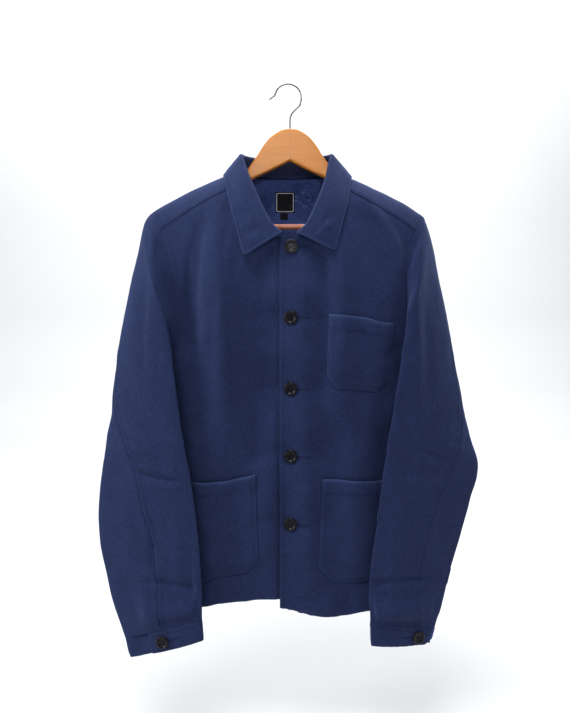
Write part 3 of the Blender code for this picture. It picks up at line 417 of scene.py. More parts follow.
def coons(bottom, top, left, right, us, vs):
    u, v = us[None, :, None], vs[:, None, None]
    ruled = bottom[None] * (1 - v) + top[None] * v + left[:, None] * (1 - u) + right[:, None] * u
    corners = ((bottom[0] * (1 - u) + bottom[-1] * u) * (1 - v)
               + (top[0] * (1 - u) + top[-1] * u) * v)
    return ruled - corners


def distanceTo(points, lines):  # from each point to the nearest of some lines
    marks = []
    for line in lines:
        length = lengthsAlong(line)
        goal = np.linspace(0, length[-1], max(int(length[-1] / (0.8 * mm)), 2))
        marks.append(np.stack([np.interp(goal, length, line[:, i]) for i in range(3)], axis=1))
    marks = np.concatenate(marks)
    tree = KDTree(len(marks))
    for i, mark in enumerate(marks):
        tree.insert(mark, i)
    tree.balance()
    gaps = [tree.find(point)[2] for point in points.reshape(-1, 3)]
    return np.array(gaps).reshape(points.shape[:-1])


def gridNormals(grid, outward):
    normals = unit(np.cross(np.gradient(grid, axis=1), np.gradient(grid, axis=0)))
    return normals * np.sign((normals * outward).sum(axis=-1).mean())


def meanRun(grid, axis):  # mean length along a grid's lines, from 0
    steps = np.linalg.norm(np.diff(grid, axis=axis), axis=-1)
    return np.concatenate([[0], np.cumsum(steps.mean(axis=1 - axis))])


def rollIn(distance, radius):  # how far a rounded edge has sunk, near that edge
    rest = np.clip(1 - distance / radius, 0, 1)
    return -radius * (1 - np.sqrt(1 - rest ** 2))


def lineInside(grid, edge, distance, start=0.0, end=1.0):
    # a line that follows one edge of a grid at a distance from it
    turned = {"bottom": grid, "top": grid[::-1], "first": grid.transpose(1, 0, 2),
              "last": grid[:, ::-1].transpose(1, 0, 2)}[edge]
    count = turned.shape[1]
    line = []
    for c in range(int(start * (count - 1)), int(end * (count - 1)) + 1):
        strip = turned[:, c]
        run = lengthsAlong(strip[:60])
        line.append([np.interp(distance, run, strip[:60, i]) for i in range(3)])
    return np.array(line)


outerFaces = {}  # outer faces by piece, to set other pieces on


def gridFaces(grid):
    rows, columns = grid.shape[:2]
    index = np.arange(rows * columns).reshape(rows, columns)
    return np.stack([index[:-1, :-1], index[:-1, 1:], index[1:, 1:], index[1:, :-1]],
                    axis=-1).reshape(-1, 4)


def addToScene(name, data):
    made = bpy.data.objects.new(name, data)
    bpy.context.scene.collection.objects.link(made)
    return made


def linkPiece(name, mesh, finish=None):
    if finish:
        mesh.materials.clear()
        mesh.materials.append(materials[finish])
    return addToScene(name, mesh)


def makeSheet(name, grid, outward, wall, flat, marks, finish="navy", inside="paleReverseAndPaintedLight"):
    faces = gridFaces(grid)
    cross = np.cross(grid[:-1, 1:] - grid[:-1, :-1], grid[1:, :-1] - grid[:-1, :-1])
    if (cross * outward[:-1, :-1]).sum() < 0:
        faces = faces[:, ::-1]
    points, faces = grid.reshape(-1, 3).tolist(), faces.tolist()
    outerFaces[name] = BVHTree.FromPolygons(points, faces)
    mesh = bpy.data.meshes.new(name)
    mesh.from_pydata(points, [], faces)
    corner = np.zeros(len(mesh.loops), int)
    mesh.loops.foreach_get("vertex_index", corner)
    layer = mesh.uv_layers.new(name="flatCloth")
    layer.data.foreach_set("uv", flat.reshape(-1, 2)[corner].ravel())
    for mark, values in marks.items():
        mesh.attributes.new(mark, "FLOAT", "POINT").data.foreach_set("value", values.ravel())
    mesh.shade_smooth()
    piece = linkPiece(name, mesh, finish)
    # the inner face takes the inside material, by default the paler copy of the cloth: partly the
    # twill's paler reverse, mostly painted light
    if inside:
        mesh.materials.append(materials[inside])
    thickness = piece.modifiers.new("wall", "SOLIDIFY")
    thickness.thickness, thickness.offset = wall, -1
    thickness.material_offset = len(mesh.materials) - 1
    return piece


def settle(piece, slot, *nodes):  # gives a piece its body and hides its solid
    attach(piece, "root")
    if nodes:
        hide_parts(*nodes)


# materials

def addNode(tree, kind, **values):
    node = tree.nodes.new(kind)
    count = len(tree.nodes)
    node.location = (count % 9 * 220 - 1000, 400 - count // 9 * 260)
    for key, value in values.items():
        setattr(node, key, value)
    return node


def mathNode(tree, operation, *values, clamp=False):
    node = addNode(tree, "ShaderNodeMath", operation=operation, use_clamp=clamp)
    feed(tree, node.inputs, values)
    return node.outputs[0]


def feed(tree, sockets, values):  # plain values are set, outputs are linked
    for socket, value in zip(sockets, values):
        if isinstance(value, (int, float, tuple)):
            socket.default_value = value
        else:
            tree.links.new(value, socket)


def newGroup(name, inputs, outputs, kind="ShaderNodeTree"):
    group = bpy.data.node_groups.new(name, kind)
    for way, rows in (("INPUT", inputs), ("OUTPUT", outputs)):
        for label, socketKind, *value in rows:
            socket = group.interface.new_socket(label, in_out=way,
                                                socket_type="NodeSocket" + socketKind)
            if value:
                socket.default_value = value[0]
    return group, addNode(group, "NodeGroupInput"), addNode(group, "NodeGroupOutput")


def noiseNode(tree, vector, scale, detail=3.0, roughness=0.55):
    node = addNode(tree, "ShaderNodeTexNoise")
    names = ("Vector", "Scale", "Detail", "Roughness")
    feed(tree, [node.inputs[name] for name in names], (vector, scale, detail, roughness))
    return node.outputs["Fac"]


def splitNode(tree, vector):
    node = addNode(tree, "ShaderNodeSeparateXYZ")
    tree.links.new(vector, node.inputs[0])
    return node.outputs


def twillGroup():  # diagonal ribs of the weave, from a flat cloth place
    group, start, end = newGroup("twillWeave", [
        ("Flat Place", "Vector"), ("Ribs Per Metre", "Float", 900.0), ("Slope", "Float", 1.08),
        ("Unevenness", "Float", 0.5)], [("Height", "Float"), ("Thread", "Float")])
    calc = partial(mathNode, group)
    place, ribsPerMetre, slope, unevenness = start.outputs[:4]
    x, y = splitNode(group, place)[:2]
    cosine, sine = calc("COSINE", slope), calc("SINE", slope)
    acrossRib = calc("SUBTRACT", calc("MULTIPLY", y, cosine), calc("MULTIPLY", x, sine))
    alongRib = calc("ADD", calc("MULTIPLY", x, cosine), calc("MULTIPLY", y, sine))
    ribs = calc("MULTIPLY_ADD", noiseNode(group, place, 140.0, 2.0), unevenness,
                calc("MULTIPLY", acrossRib, ribsPerMetre))
    rib = calc("SINE", calc("MULTIPLY", ribs, 2 * math.pi))
    floats = calc("MULTIPLY_ADD", alongRib, ribsPerMetre,
                  calc("MULTIPLY", calc("FLOOR", ribs), 0.37))
    thread = calc("SINE", calc("MULTIPLY", floats, 2 * math.pi))
    feed(group, end.inputs, (
        calc("MULTIPLY_ADD", thread, 0.12, calc("MULTIPLY_ADD", rib, 0.38, 0.5)),
        calc("MULTIPLY_ADD", thread, 0.5, 0.5)))
    return group


def wearAndPaintedLightGroup():  # where the cloth is paler: edges, from wear and painted highlight, and patches of wear; and where it is darker: painted shade along stitches and seams
    group, start, end = newGroup("wearAndPaintedLightMarks", [
        ("Flat Place", "Vector"), ("Edge Distance", "Float", 1.0),
        ("Stitch Distance", "Float", 1.0), ("Patch Scale", "Float", 26.0)],
        [("Edge", "Float"), ("Groove", "Float"), ("Patches", "Float")])
    calc = partial(mathNode, group)
    place, edgeDistance, stitchDistance, patchScale = start.outputs[:4]
    edge = calc("EXPONENT", calc("MULTIPLY", edgeDistance, -1 / (2.2 * mm)))
    speckle = noiseNode(group, place, 420.0, 3.0)
    # painted shade along stitches and seams
    squared = calc("POWER", calc("MULTIPLY", stitchDistance, 1 / (1.3 * mm)), 2.0)
    feed(group, end.inputs, (calc("MULTIPLY", edge, calc("MULTIPLY_ADD", speckle, 1.2, 0.35)),
                             calc("EXPONENT", calc("MULTIPLY", squared, -1.0)),
                             noiseNode(group, place, patchScale, 5.0, 0.6)))
    return group


groups = {"twill": twillGroup(), "wearAndLightMarks": wearAndPaintedLightGroup()}

cloth = {
    "deep": (0.0080, 0.0132, 0.044, 1),
    "face": (0.0250, 0.0388, 0.118, 1),
    # paler colour at the edges: wear and painted highlight
    "wearAndHighlightEdge": (0.043, 0.068, 0.175, 1),
    "stitchDent": 0.30 * mm,
    "pucker": 0.28 * mm,
    "grain": 0.95,
    "threadStretch": ((110, 640, 1), (640, 110, 1)),
    "shader": {"Roughness": 0.88, "Specular IOR Level": 0.12, "Sheen Weight": 0.14,
               "Sheen Roughness": 0.5, "Sheen Tint": (0.38, 0.50, 0.90, 1)},
}


def blendColours(tree, factor, first, second):
    node = addNode(tree, "ShaderNodeMix", data_type="RGBA")
    feed(tree, (node.inputs[0], *node.inputs[6:8]), (factor, first, second))
    return node.outputs[2]


def stretched(tree, vector, scale):
    node = addNode(tree, "ShaderNodeMapping")
    feed(tree, (node.inputs["Vector"], node.inputs["Scale"]), (vector, scale))
    return node.outputs["Vector"]


def addBump(tree, shader, height, strength, distance):
    node = addNode(tree, "ShaderNodeBump")
    feed(tree, [node.inputs[name] for name in ("Strength", "Distance", "Height")],
         (strength, distance, height))
    tree.links.new(node.outputs["Normal"], shader.inputs["Normal"])


def darkened(colour, share):
    return tuple(share * c for c in colour[:3]) + (1,)


def startMaterial(name, settings):  # settings: the shader's own sockets
    material = bpy.data.materials.new(name)
    material.use_nodes = True
    shader = material.node_tree.nodes["Principled BSDF"]
    for key, value in settings.items():
        shader.inputs[key].default_value = value
    return material, material.node_tree, shader


def navyTwill(name, shade=1.0):
    material, tree, shader = startMaterial(name, cloth["shader"])
    calc = partial(mathNode, tree)
    place = addNode(tree, "ShaderNodeUVMap", uv_map="flatCloth").outputs["UV"]
    weave, wearAndLightMarks = (addNode(tree, "ShaderNodeGroup", node_tree=groups[key])
                   for key in ("twill", "wearAndLightMarks"))
    edge, stitches = (addNode(tree, "ShaderNodeAttribute", attribute_name=mark).outputs["Fac"]
                      for mark in ("edge", "stitch"))
    feed(tree, weave.inputs, [place])
    feed(tree, wearAndLightMarks.inputs, [place, edge, stitches])
    deep, face, wearAndHighlightEdge = (darkened(cloth[key], shade) for key in ("deep", "face", "wearAndHighlightEdge"))
    fuzz = noiseNode(tree, place, 900.0, 2.0)
    threads = [calc("SUBTRACT", noiseNode(tree, stretched(tree, place, scale), 1.0, 2.0), 0.5)
               for scale in cloth["threadStretch"]]
    grain = calc("MULTIPLY", calc("ADD", *threads), cloth["grain"])
    base = calc("MULTIPLY_ADD", weave.outputs["Height"], 0.3,
                calc("MULTIPLY", wearAndLightMarks.outputs["Patches"], 0.5))
    base = calc("MULTIPLY_ADD", fuzz, 0.5, calc("SUBTRACT", base, 0.15))
    colour = blendColours(tree, calc("ADD", base, grain, clamp=True), deep, face)
    # paler edges: wear and painted highlight; darker along stitches and seams: painted shade
    for mark, share, tone in (("Edge", 0.42, wearAndHighlightEdge), ("Groove", 0.6, deep)):
        share = calc("MULTIPLY", wearAndLightMarks.outputs[mark], share, clamp=True)
        colour = blendColours(tree, share, colour, tone)
    tree.links.new(colour, shader.inputs["Base Color"])
    slub = noiseNode(tree, place, 160.0, 4.0, 0.6)
    height = calc("MULTIPLY_ADD", slub, 0.9, weave.outputs["Height"])
    addBump(tree, shader, calc("MULTIPLY_ADD", fuzz, 0.5, height), 0.45, 0.22 * mm)
    return material


# the inside copy is 2.7 times paler: partly the twill's paler reverse, mostly painted light for the
# dim inside
materials = {"navy": navyTwill("navyTwill"), "paleReverseAndPaintedLight": navyTwill("navyTwillReverseAndPaintedLight", 2.7)}
print("materials ready")

stitchRuns = []  # lines of stitches, made at the end


def shapeCloth(points, normals, flat, freeEdges, seamEdges, stitchLines, bands, roll=0.8 * mm,
               calmEdges=(), seamRoll=1.3 * mm):
    # rolls a grid in at its edges, sinks it at its seams and dents it along its stitches
    far = np.full(points.shape[:-1], 0.05)
    edgeGap, seamGap, stitchGap = (distanceTo(points, lines) if lines else far
                                   for lines in (freeEdges, seamEdges, stitchLines))
    lift = rollIn(edgeGap, roll) + rollIn(seamGap, seamRoll) * 0.75
    for distance, depth, height in bands:  # a turned edge or seam allowance stands proud
        lift += height * (1 - smoothStep(depth, depth + 1.6 * mm, distance))
    lift -= cloth["stitchDent"] * np.exp(-(stitchGap / (1.3 * mm)) ** 2)
    pucker = waviness(flat[..., 0], flat[..., 1], 7 * mm, 7 * mm, 11)
    lift += cloth["pucker"] * pucker * np.exp(-stitchGap / (5 * mm))
    if calmEdges:
        lift += rollIn(distanceTo(points, calmEdges), roll)
    # edge: paler edges, wear and painted highlight; stitch: painted shade along stitches and seams
    marks = {"edge": edgeGap, "stitch": np.minimum(stitchGap + 0.5 * mm, seamGap)}
    return points + normals * lift[..., None], marks


def frontPanel(side):
    runs = body["runs"]
    edgeX = body["underEdgeX"] if side == "right" else body["frontEdgeX"]
    lowShares = spread(runs["side"], 3.4 * mm, fineEnd=False)
    highShares = spread(runs["frontArm"], 3.0 * mm, fineStart=False)
    neckShares = spread(runs["frontNeck"], 3.2 * mm, fineEnd=False)
    seamShares = spread(runs["shoulder"], 3.2 * mm, fineStart=False)
    us = joinShares([neckShares, seamShares], [4, 5])
    vs = joinShares([lowShares, highShares], [13, 10])
    top = np.concatenate([atShares(spots(body["neckline"][side]), neckShares, bodyPoint),
                          atShares(shoulderSeam(side), seamShares, bodyPoint)[1:]])
    outer = np.concatenate([sideSeam(side, 1, lowShares),
                            atShares(armholeSide(side, 1), highShares, bodyPoint)[1:]])
    hem = np.concatenate([spots(body["hem"][side]), outer[:1]])
    bottom = atShares(hem, us, bodyPoint)
    ridge = ridgeHeight(np.array(edgeX))
    knee = pathFromDrop(ridge - body["underarmZ"] + body["rowSlope"])
    low, high = 13 / 23, 10 / 23  # shares of the rows below and above the underarm
    paths = np.where(vs <= low, bottom[0, 1] + (knee - bottom[0, 1]) * vs / low,
                     knee + (top[0, 1] - knee) * (vs - low) / high)
    inner = spot(np.full(len(vs), edgeX), path=paths)
    inner[0], inner[-1] = bottom[0], top[0]
    places = coons(bottom, top, inner, outer, us, vs)
    places[..., 0] = np.clip(places[..., 0], -1, 1)
    points, normals = bodySurface(places, side)
    corner, underarm = len(neckShares) - 1, len(lowShares) - 1
    points = settleArmholes(places, points, [np.s_[underarm:, -1]])
    hemEdge, frontEdge, armEdge = points[0], points[:, 0], points[underarm:, -1]
    seams = [points[:underarm + 1, -1], armEdge, points[-1, :corner + 1], points[-1, corner:]]
    flat = clothPlace(places)
    stitches = [("bottom", body["hemDepth"], np.s_[:]), ("first", body["edgeStitch"], np.s_[:]),
                ("last", body["armholeStitch"], np.s_[underarm:])]
    lines = sewLines(points, stitches[:2] + [stitches[2] + (0.06,)])
    bands = [(distanceTo(points, [edge]), depth, height) for edge, depth, height in (
        (hemEdge, body["hemDepth"], 0.35 * mm), (armEdge, body["armholeStitch"], 0.45 * mm),
        (frontEdge, body["edgeStitch"], 0.25 * mm))]
    points, marks = shapeCloth(points, normals, flat, [hemEdge], seams, lines, bands,
                               calmEdges=[frontEdge])
    over = unit(points[-1] - points[-2])
    points[-1, corner:] += over[corner:] * body["seamCover"]  # nothing shows through the seam
    if side == "right":  # drawn in, with painted shade under the other front's edge
        beside = np.abs(points[..., 0] - body["frontEdgeX"] + 0.8 * mm)
        dip = body["underEdgeDip"] * np.exp(-(beside / (4 * mm)) ** 2)
        points = points - normals * dip[..., None]
        marks["stitch"] = np.minimum(marks["stitch"], beside * 0.6)
    piece = makeSheet("frontPanel" + side.capitalize(), points, normals, body["wall"], flat, marks)
    addStitches(points, normals, stitches)
    settle(piece, "navy_twill", "front_" + side)


def sideSeam(side, face, shares):
    ridge = ridgeHeight(np.array(middleX + signOf[side] * body["sideX"]))
    low, high = face * (ridge - body["sideHemZ"]), face * (ridge - body["underarmZ"])
    across = np.full(len(shares), float(signOf[side]))
    return np.stack([across, low + (high - low) * shares], axis=1)


def armholeSide(side, face):
    column = {("right", 1): 1, ("right", -1): 2, ("left", 1): 3, ("left", -1): 4}[side, face]
    rows = np.array(body["armhole"], float)
    return np.concatenate([sideSeam(side, face, np.ones(1)), spot(
        middleX + signOf[side] * rows[:, column] * mm, rows[:, 0] * mm, face=face)])


def armholeBack(side):
    tip = spot(np.array(middleX + signOf[side] * body["armholeTopX"]), path=np.array(0.0))
    return np.concatenate([armholeSide(side, -1), [tip], [armholeSide(side, 1)[-1]]])


def shoulderSeam(side):
    points = spots(body["shoulderSeam"][side])
    points[-1] = armholeSide(side, 1)[-1]
    return points


def sewLines(points, rows):  # rows: edge, distance, part of the grid, start and end
    return [lineInside(points[part], edge, distance, *ends)
            for edge, distance, part, *ends in rows]


def addStitches(points, outward, rows):
    raised = points + gridNormals(points, outward) * mm
    for line, above in zip(sewLines(points, rows), sewLines(raised, rows)):
        stitchRuns.append((line, unit(above - line)))


def rims(points):
    return [points[0], points[-1], points[:, 0], points[:, -1]]


def settleArmholes(places, points, parts):  # creases fade out where the sleeves are sewn on
    plain = bodyPoint(places)
    near = distanceTo(plain, [plain[part] for part in parts])
    return plain + (points - plain) * smoothStep(-1 * mm, 15 * mm, near)[..., None]


def easeCorners(places, columns):  # evens the grid below the neck's corners, or it would fold
    row = np.arange(places.shape[0])[:, None] / (places.shape[0] - 1)
    column = np.arange(places.shape[1])[None]
    near = np.max([1 - smoothStep(8, 22, np.abs(column - c)) for c in columns], axis=0)
    share = smoothStep(0.65, 0.76, row) * (1 - smoothStep(0.905, 0.955, row)) * near
    share = share[1:-1, 1:-1, None]
    for _ in range(26):
        middle = (places[:-2, 1:-1] + places[2:, 1:-1] + places[1:-1, :-2] + places[1:-1, 2:]) / 4
        places[1:-1, 1:-1] += (middle - places[1:-1, 1:-1]) * share
    return places


def backPanel():
    runs = body["runs"]
    lowShares = spread(runs["side"], 3.6 * mm, fineEnd=False)
    armShares = spread(runs["backArm"], 3.2 * mm, fineStart=False)
    vs = joinShares([lowShares, armShares], [13, 12])
    seamShares = spread(runs["shoulder"], 3.4 * mm, fineEnd=False)
    neckShares = spread(runs["backNeck"], 3.4 * mm, False, False)
    us = joinShares([seamShares, neckShares, 1 - seamShares[::-1]], [5, 10, 5])
    left, right = (np.concatenate([sideSeam(side, -1, lowShares),
                                   atShares(armholeBack(side), armShares, bodyPoint)[1:]])
                   for side in signOf)
    rightSeam, leftSeam = (atShares(shoulderSeam(side), 1 - seamShares[::-1], bodyPoint)
                           for side in signOf)
    rightSeam = rightSeam[::-1]
    neckRows = np.array(body["backNeck"], float) * mm
    neckPoints = np.concatenate([rightSeam[-1:], spot(neckRows[:, 0], path=neckRows[:, 1]),
                                 leftSeam[:1]])
    neck = atShares(neckPoints, neckShares, bodyPoint)
    top = np.concatenate([rightSeam, neck[1:-1], leftSeam])
    hem = np.concatenate([left[:1], spots(body["hem"]["back"], face=-1), right[:1]])
    places = coons(atShares(hem, us, bodyPoint), top, left, right, us, vs)
    places = easeCorners(places, (len(seamShares) + 1, len(us) - len(seamShares) - 2))
    places[..., 0] = np.clip(places[..., 0], -1, 1)
    points, normals = bodySurface(places, "back")
    underarm = len(lowShares) - 1
    a, b = len(seamShares) - 1, len(us) - len(seamShares)
    points = settleArmholes(places, points, [np.s_[underarm:, 0], np.s_[underarm:, -1]])
    arms = [points[underarm:, 0], points[underarm:, -1]]
    shoulders = [points[-1, :a + 1], points[-1, b:]]
    seams = [points[:underarm + 1, 0], points[:underarm + 1, -1], *arms, *shoulders,
             points[-1, a:b + 1]]
    flat = clothPlace(places)
    stitches = [("bottom", body["hemDepth"], np.s_[:])]
    stitches += [(edge, body["armholeStitch"], np.s_[underarm:], 0.05, 0.97)
                 for edge in ("first", "last")]
    stitches += [("top", distance, part) for distance in body["shoulderStitches"]
                 for part in (np.s_[:, :a + 1], np.s_[:, b:])]
    bands = [(distanceTo(points, edges), depth, height) for edges, depth, height in (
        ([points[0]], body["hemDepth"], 0.35 * mm), (arms, body["armholeStitch"], 0.45 * mm),
        (shoulders, 8.0 * mm, 0.55 * mm))]
    points, marks = shapeCloth(points, normals, flat, [points[0]], seams,
                               sewLines(points, stitches), bands)
    piece = makeSheet("backPanel", points, normals, body["wall"], flat, marks)
    addStitches(points, normals, stitches)
    settle(piece, "navy_twill", "back")


for side in signOf:
    frontPanel(side)
backPanel()
print("body panels ready")

# sleeves, as lofts from the armhole through rings; places round a ring count from its outer edge
# (0) over the front to the fold beside the body (0.375), underneath (0.5) and up the back

sleeve = {
    "wall": 1.1 * mm,
    "gap": -0.8 * mm,  # negative, so that the edges meet once both are rolled in
    "underSeam": 0.60,
    "width": {"upper": 330 * mm, "under": 130 * mm},
    "creaseGain": 1.5,
    "longSwell": 0.7 * mm,
    "smallSwell": 0.35 * mm,
    "seed": {"right": 21, "left": 27},
    "seamStitches": (1.7 * mm, 7.4 * mm),
    "armCounts": (-3, 16, 19),  # armhole counts at the elbow seam, the under seam, and again
    "swellInner": (-0.15, -0.50, -0.85),
    "knots": [0, 1 / 8, 2 / 8, 3 / 8, 7 / 16, 4 / 8, 5 / 8, 6 / 8, 7 / 8],
    "depth": [  # outer y, fold y, swell front, back and inner, tuck out, back and down
        (-3, -50, 18, 26, 17, 38, 45, 66), (-5, -54, 17, 24, 14, 44, 46, 52),
        (-8, -57, 15, 22, 9, 48, 45, 37), (-12, -60, 13, 20, 4, 49, 43, 19),
        (-16, -63, 11, 18, 1, 46, 41, 6), (-20, -65, 10, 16, 0, 41, 35, 1),
        (-24, -68, 9, 14, 0, 32, 27, 0), (-28, -69, 8, 14, 0, 21, 21, 0),
        (-33, -71, 8, 12, 0, 13, 17, 0), (-38, -73, 7, 10, 0, 8, 15, 0),
        (-43, -74, 7, 9, 0, 6, 14, 0), (-48, -75, 6, 8, 0, 5, 14, 0),
        (-51, -75, 6, 8, 0, 4, 14, 0), (-53, -75, 6, 8, 0, 3, 14, 0)],
    "outline": {  # outer x, outer z, fold x, fold z, place of the elbow seam
        "right": [
            (219, -209, 179, -354, -.11), (227, -246, 175, -373, -.10),
            (238, -293, 171, -394, -.08), (251, -353, 168, -425, -.06),
            (262, -415, 164, -457, -.03), (270, -477, 159, -493, .02),
            (279, -533, 154, -529, .09), (287, -589, 147, -574, .15),
            (293, -648, 141, -624, .18), (291, -697, 136, -674, .205),
            (282, -742, 133, -720, .205), (271, -789, 131, -764, .20),
            (252, -847, 131, -805, .185), (244, -878, 129, -839, .185)],
        "left": [
            (218, -215, 178, -351, -.11), (227, -249, 175, -373, -.10),
            (235, -295, 171, -395, -.08), (247, -350, 168, -422, -.06),
            (259, -412, 163, -454, -.03), (271, -473, 158, -491, .01),
            (284, -528, 152, -529, .06), (298, -578, 147, -571, .11),
            (284, -634, 141, -620, .14), (270, -690, 136, -669, .155),
            (255, -742, 130, -715, .15), (243, -789, 127, -762, .14),
            (231, -830, 129, -810, .10), (224, -855, 131, -847, .10)]},
}

sleeveCreases = {
    ("right", "front"): [
        (5, 1.6, -215, -204, -204, -244, -194, -300, -188, -350),
        (5, -1.4, -205, -215, -193, -250, -184, -300, -178, -345),
        (12, 1, -232, -250, -236, -330, -244, -420), (10, -1, -214, -300, -214, -380, -220, -460),
        (9, 0.9, -200, -330, -196, -420, -198, -500),
        (3.6, -2.2, -238, -580, -199, -588, -152, -593),
        (6, 1.6, -232, -570, -200, -577, -158, -583), (6, 1.4, -226, -594, -194, -601, -160, -606),
        (8, 1.2, -262, -556, -228, -548, -196, -556),
        (6, -2.6, -250, -756, -196, -750, -150, -756, -90, -750),
        (20, 4.8, -234, -800, -190, -800, -90, -798), (10, 1.8, -226, -742, -222, -780, -218, -820),
        (6, -1.8, -212, -690, -208, -712, -206, -735), (5, 1.2, -200, -706, -184, -722, -168, -730),
        (7, -0.9, -176, -556, -204, -548, -232, -530),
        (8, -0.9, -284, -600, -262, -624, -236, -640), (13, 1, -250, -610, -246, -680, -244, -740),
        (9, -0.9, -210, -620, -206, -680, -202, -700), (4, -1, -214, -690, -200, -697, -186, -702),
        (9, 0.9, -172, -640, -170, -710, -172, -780), (9, -0.8, -262, -720, -252, -770, -240, -820),
        (6, -0.8, -150, -700, -148, -750, -150, -790)],
    ("right", "back"): [
        (12, -1.1, -224, -260, -238, -350, -246, -440),
        (8, 1.2, -252, -560, -220, -580, -190, -586), (8, -1.2, -268, -600, -236, -618, -206, -622),
        (12, 1, -230, -640, -228, -720, -222, -790)],
    ("left", "front"): [
        (5, 1.6, 208, -208, 193, -246, 180, -300, 171, -366),
        (4.5, -1.3, 198, -218, 184, -250, 173, -300), (12, 0.9, 224, -260, 232, -340, 244, -420),
        (11, -1, 206, -270, 206, -360, 214, -450), (9, 0.9, 190, -340, 190, -430, 194, -510),
        (4, -2, 198, -548, 216, -556, 236, -567), (6, 1.4, 188, -560, 214, -570, 240, -582),
        (6, -2.6, 84, -756, 150, -747, 200, -749, 270, -758),
        (20, 6.2, 84, -800, 160, -796, 228, -798), (9, -1.6, 232, -620, 226, -680, 214, -730),
        (7, 0.9, 268, -560, 250, -548, 226, -538), (8, -0.9, 282, -590, 256, -604, 228, -606),
        (9, -0.8, 168, -560, 180, -600, 178, -660), (12, 0.9, 230, -620, 222, -680, 216, -740),
        (10, -0.9, 196, -640, 188, -700, 184, -770), (8, 0.8, 158, -650, 154, -720, 154, -790),
        (5, 0.8, 214, -752, 190, -762, 168, -770), (8, -0.8, 236, -740, 226, -790, 218, -820)],
    ("left", "back"): [
        (12, 1.1, 224, -270, 236, -350, 250, -440), (8, 1.2, 254, -548, 222, -566, 194, -570),
        (8, -1.2, 270, -588, 236, -606, 204, -608), (12, 1, 226, -650, 212, -720, 202, -790)],
}


def armholeLoop(side):  # a dense run round the armhole, counted as the sleeve's seams count it
    back, front = armholeBack(side), armholeSide(side, 1)
    counts, places = [], []
    for points, start, end, low, high in ((back, 10, 11, 0, 3), (front[::-1], 0, 9, 3, 13),
                                          (back, 0, 9, 13, 19), (back, 9, 10, 19, 22)):
        fine = catmull(points, np.linspace(start, end, 40 * (end - start) + 1))
        run = lengthsAlong(bodyPoint(fine))
        goal = np.linspace(0, run[-1], 12 * (high - low) + 1)[:-1]
        counts.append(low + (high - low) * goal / run[-1])
        places.append(np.stack([np.interp(goal, run, fine[:, i]) for i in (0, 1)], axis=1))
    counts, places = np.concatenate(counts), np.concatenate(places)
    points, normals = bodyPoint(places), bodyNormal(places)
    tangents = unit(np.roll(points, -1, axis=0) - np.roll(points, 1, axis=0))
    off = unit(np.cross(normals, tangents))
    off *= np.where((off * (points.mean(axis=0) - points)).sum(axis=1) < 0, -1, 1)[:, None]
    return counts, points, off


def armRing(side, shift, at):
    counts, points, off = armholeLoop(side)
    moved = points + off * shift
    return np.stack([np.interp(at, counts, moved[:, i], period=22) for i in range(3)], axis=1)


def ringPoints(side, row):
    outerX, outerZ, foldX, foldZ, _ = sleeve["outline"][side][row]
    outerY, foldY, swellFront, swellBack, swellInner, tuckOut, tuckBack, tuckDown = (
        sleeve["depth"][row])
    sign, middle = signOf[side], middleX / mm
    outer = np.array([middle + sign * outerX, outerY, outerZ])
    fold = np.array([middle + sign * foldX, foldY, foldZ])
    under = fold + np.array([sign * tuckOut, tuckBack, -tuckDown])
    inner = np.array([-sign * sleeve["swellInner"][0], *sleeve["swellInner"][1:]]) * swellInner

    def between(first, last, shares, swell):
        return [first + (last - first) * share + np.array([0, swell * math.sin(math.pi * share), 0])
                for share in shares]
    return np.array([outer, *between(outer, fold, (1 / 3, 2 / 3), -swellFront), fold,
                     (fold + under) / 2 + inner, under,
                     *between(under, outer, (0.25, 0.5, 0.75), swellBack)]) * mm


def ringAt(side, row, at):
    at = np.asarray(at) % 1
    knots = np.array(sleeve["knots"] + [1])
    k = np.clip(np.searchsorted(knots, at, side="right") - 1, 0, 8)
    share = (at - knots[k]) / (knots[k + 1] - knots[k])
    return catmull(ringPoints(side, row), k + share, closed=True)


def gridFlat(grid):  # a flat place for each point, from lengths along and across a grid
    steps = np.linalg.norm(np.diff(grid, axis=1), axis=-1)
    across = np.concatenate([np.zeros((len(grid), 1)), np.cumsum(steps, axis=1)], axis=1)
    down = lengthsAlong(grid[:, grid.shape[1] // 2])
    return np.stack([across - across[:, -1:] / 2, np.broadcast_to(-down[:, None], across.shape)],
                    axis=-1)


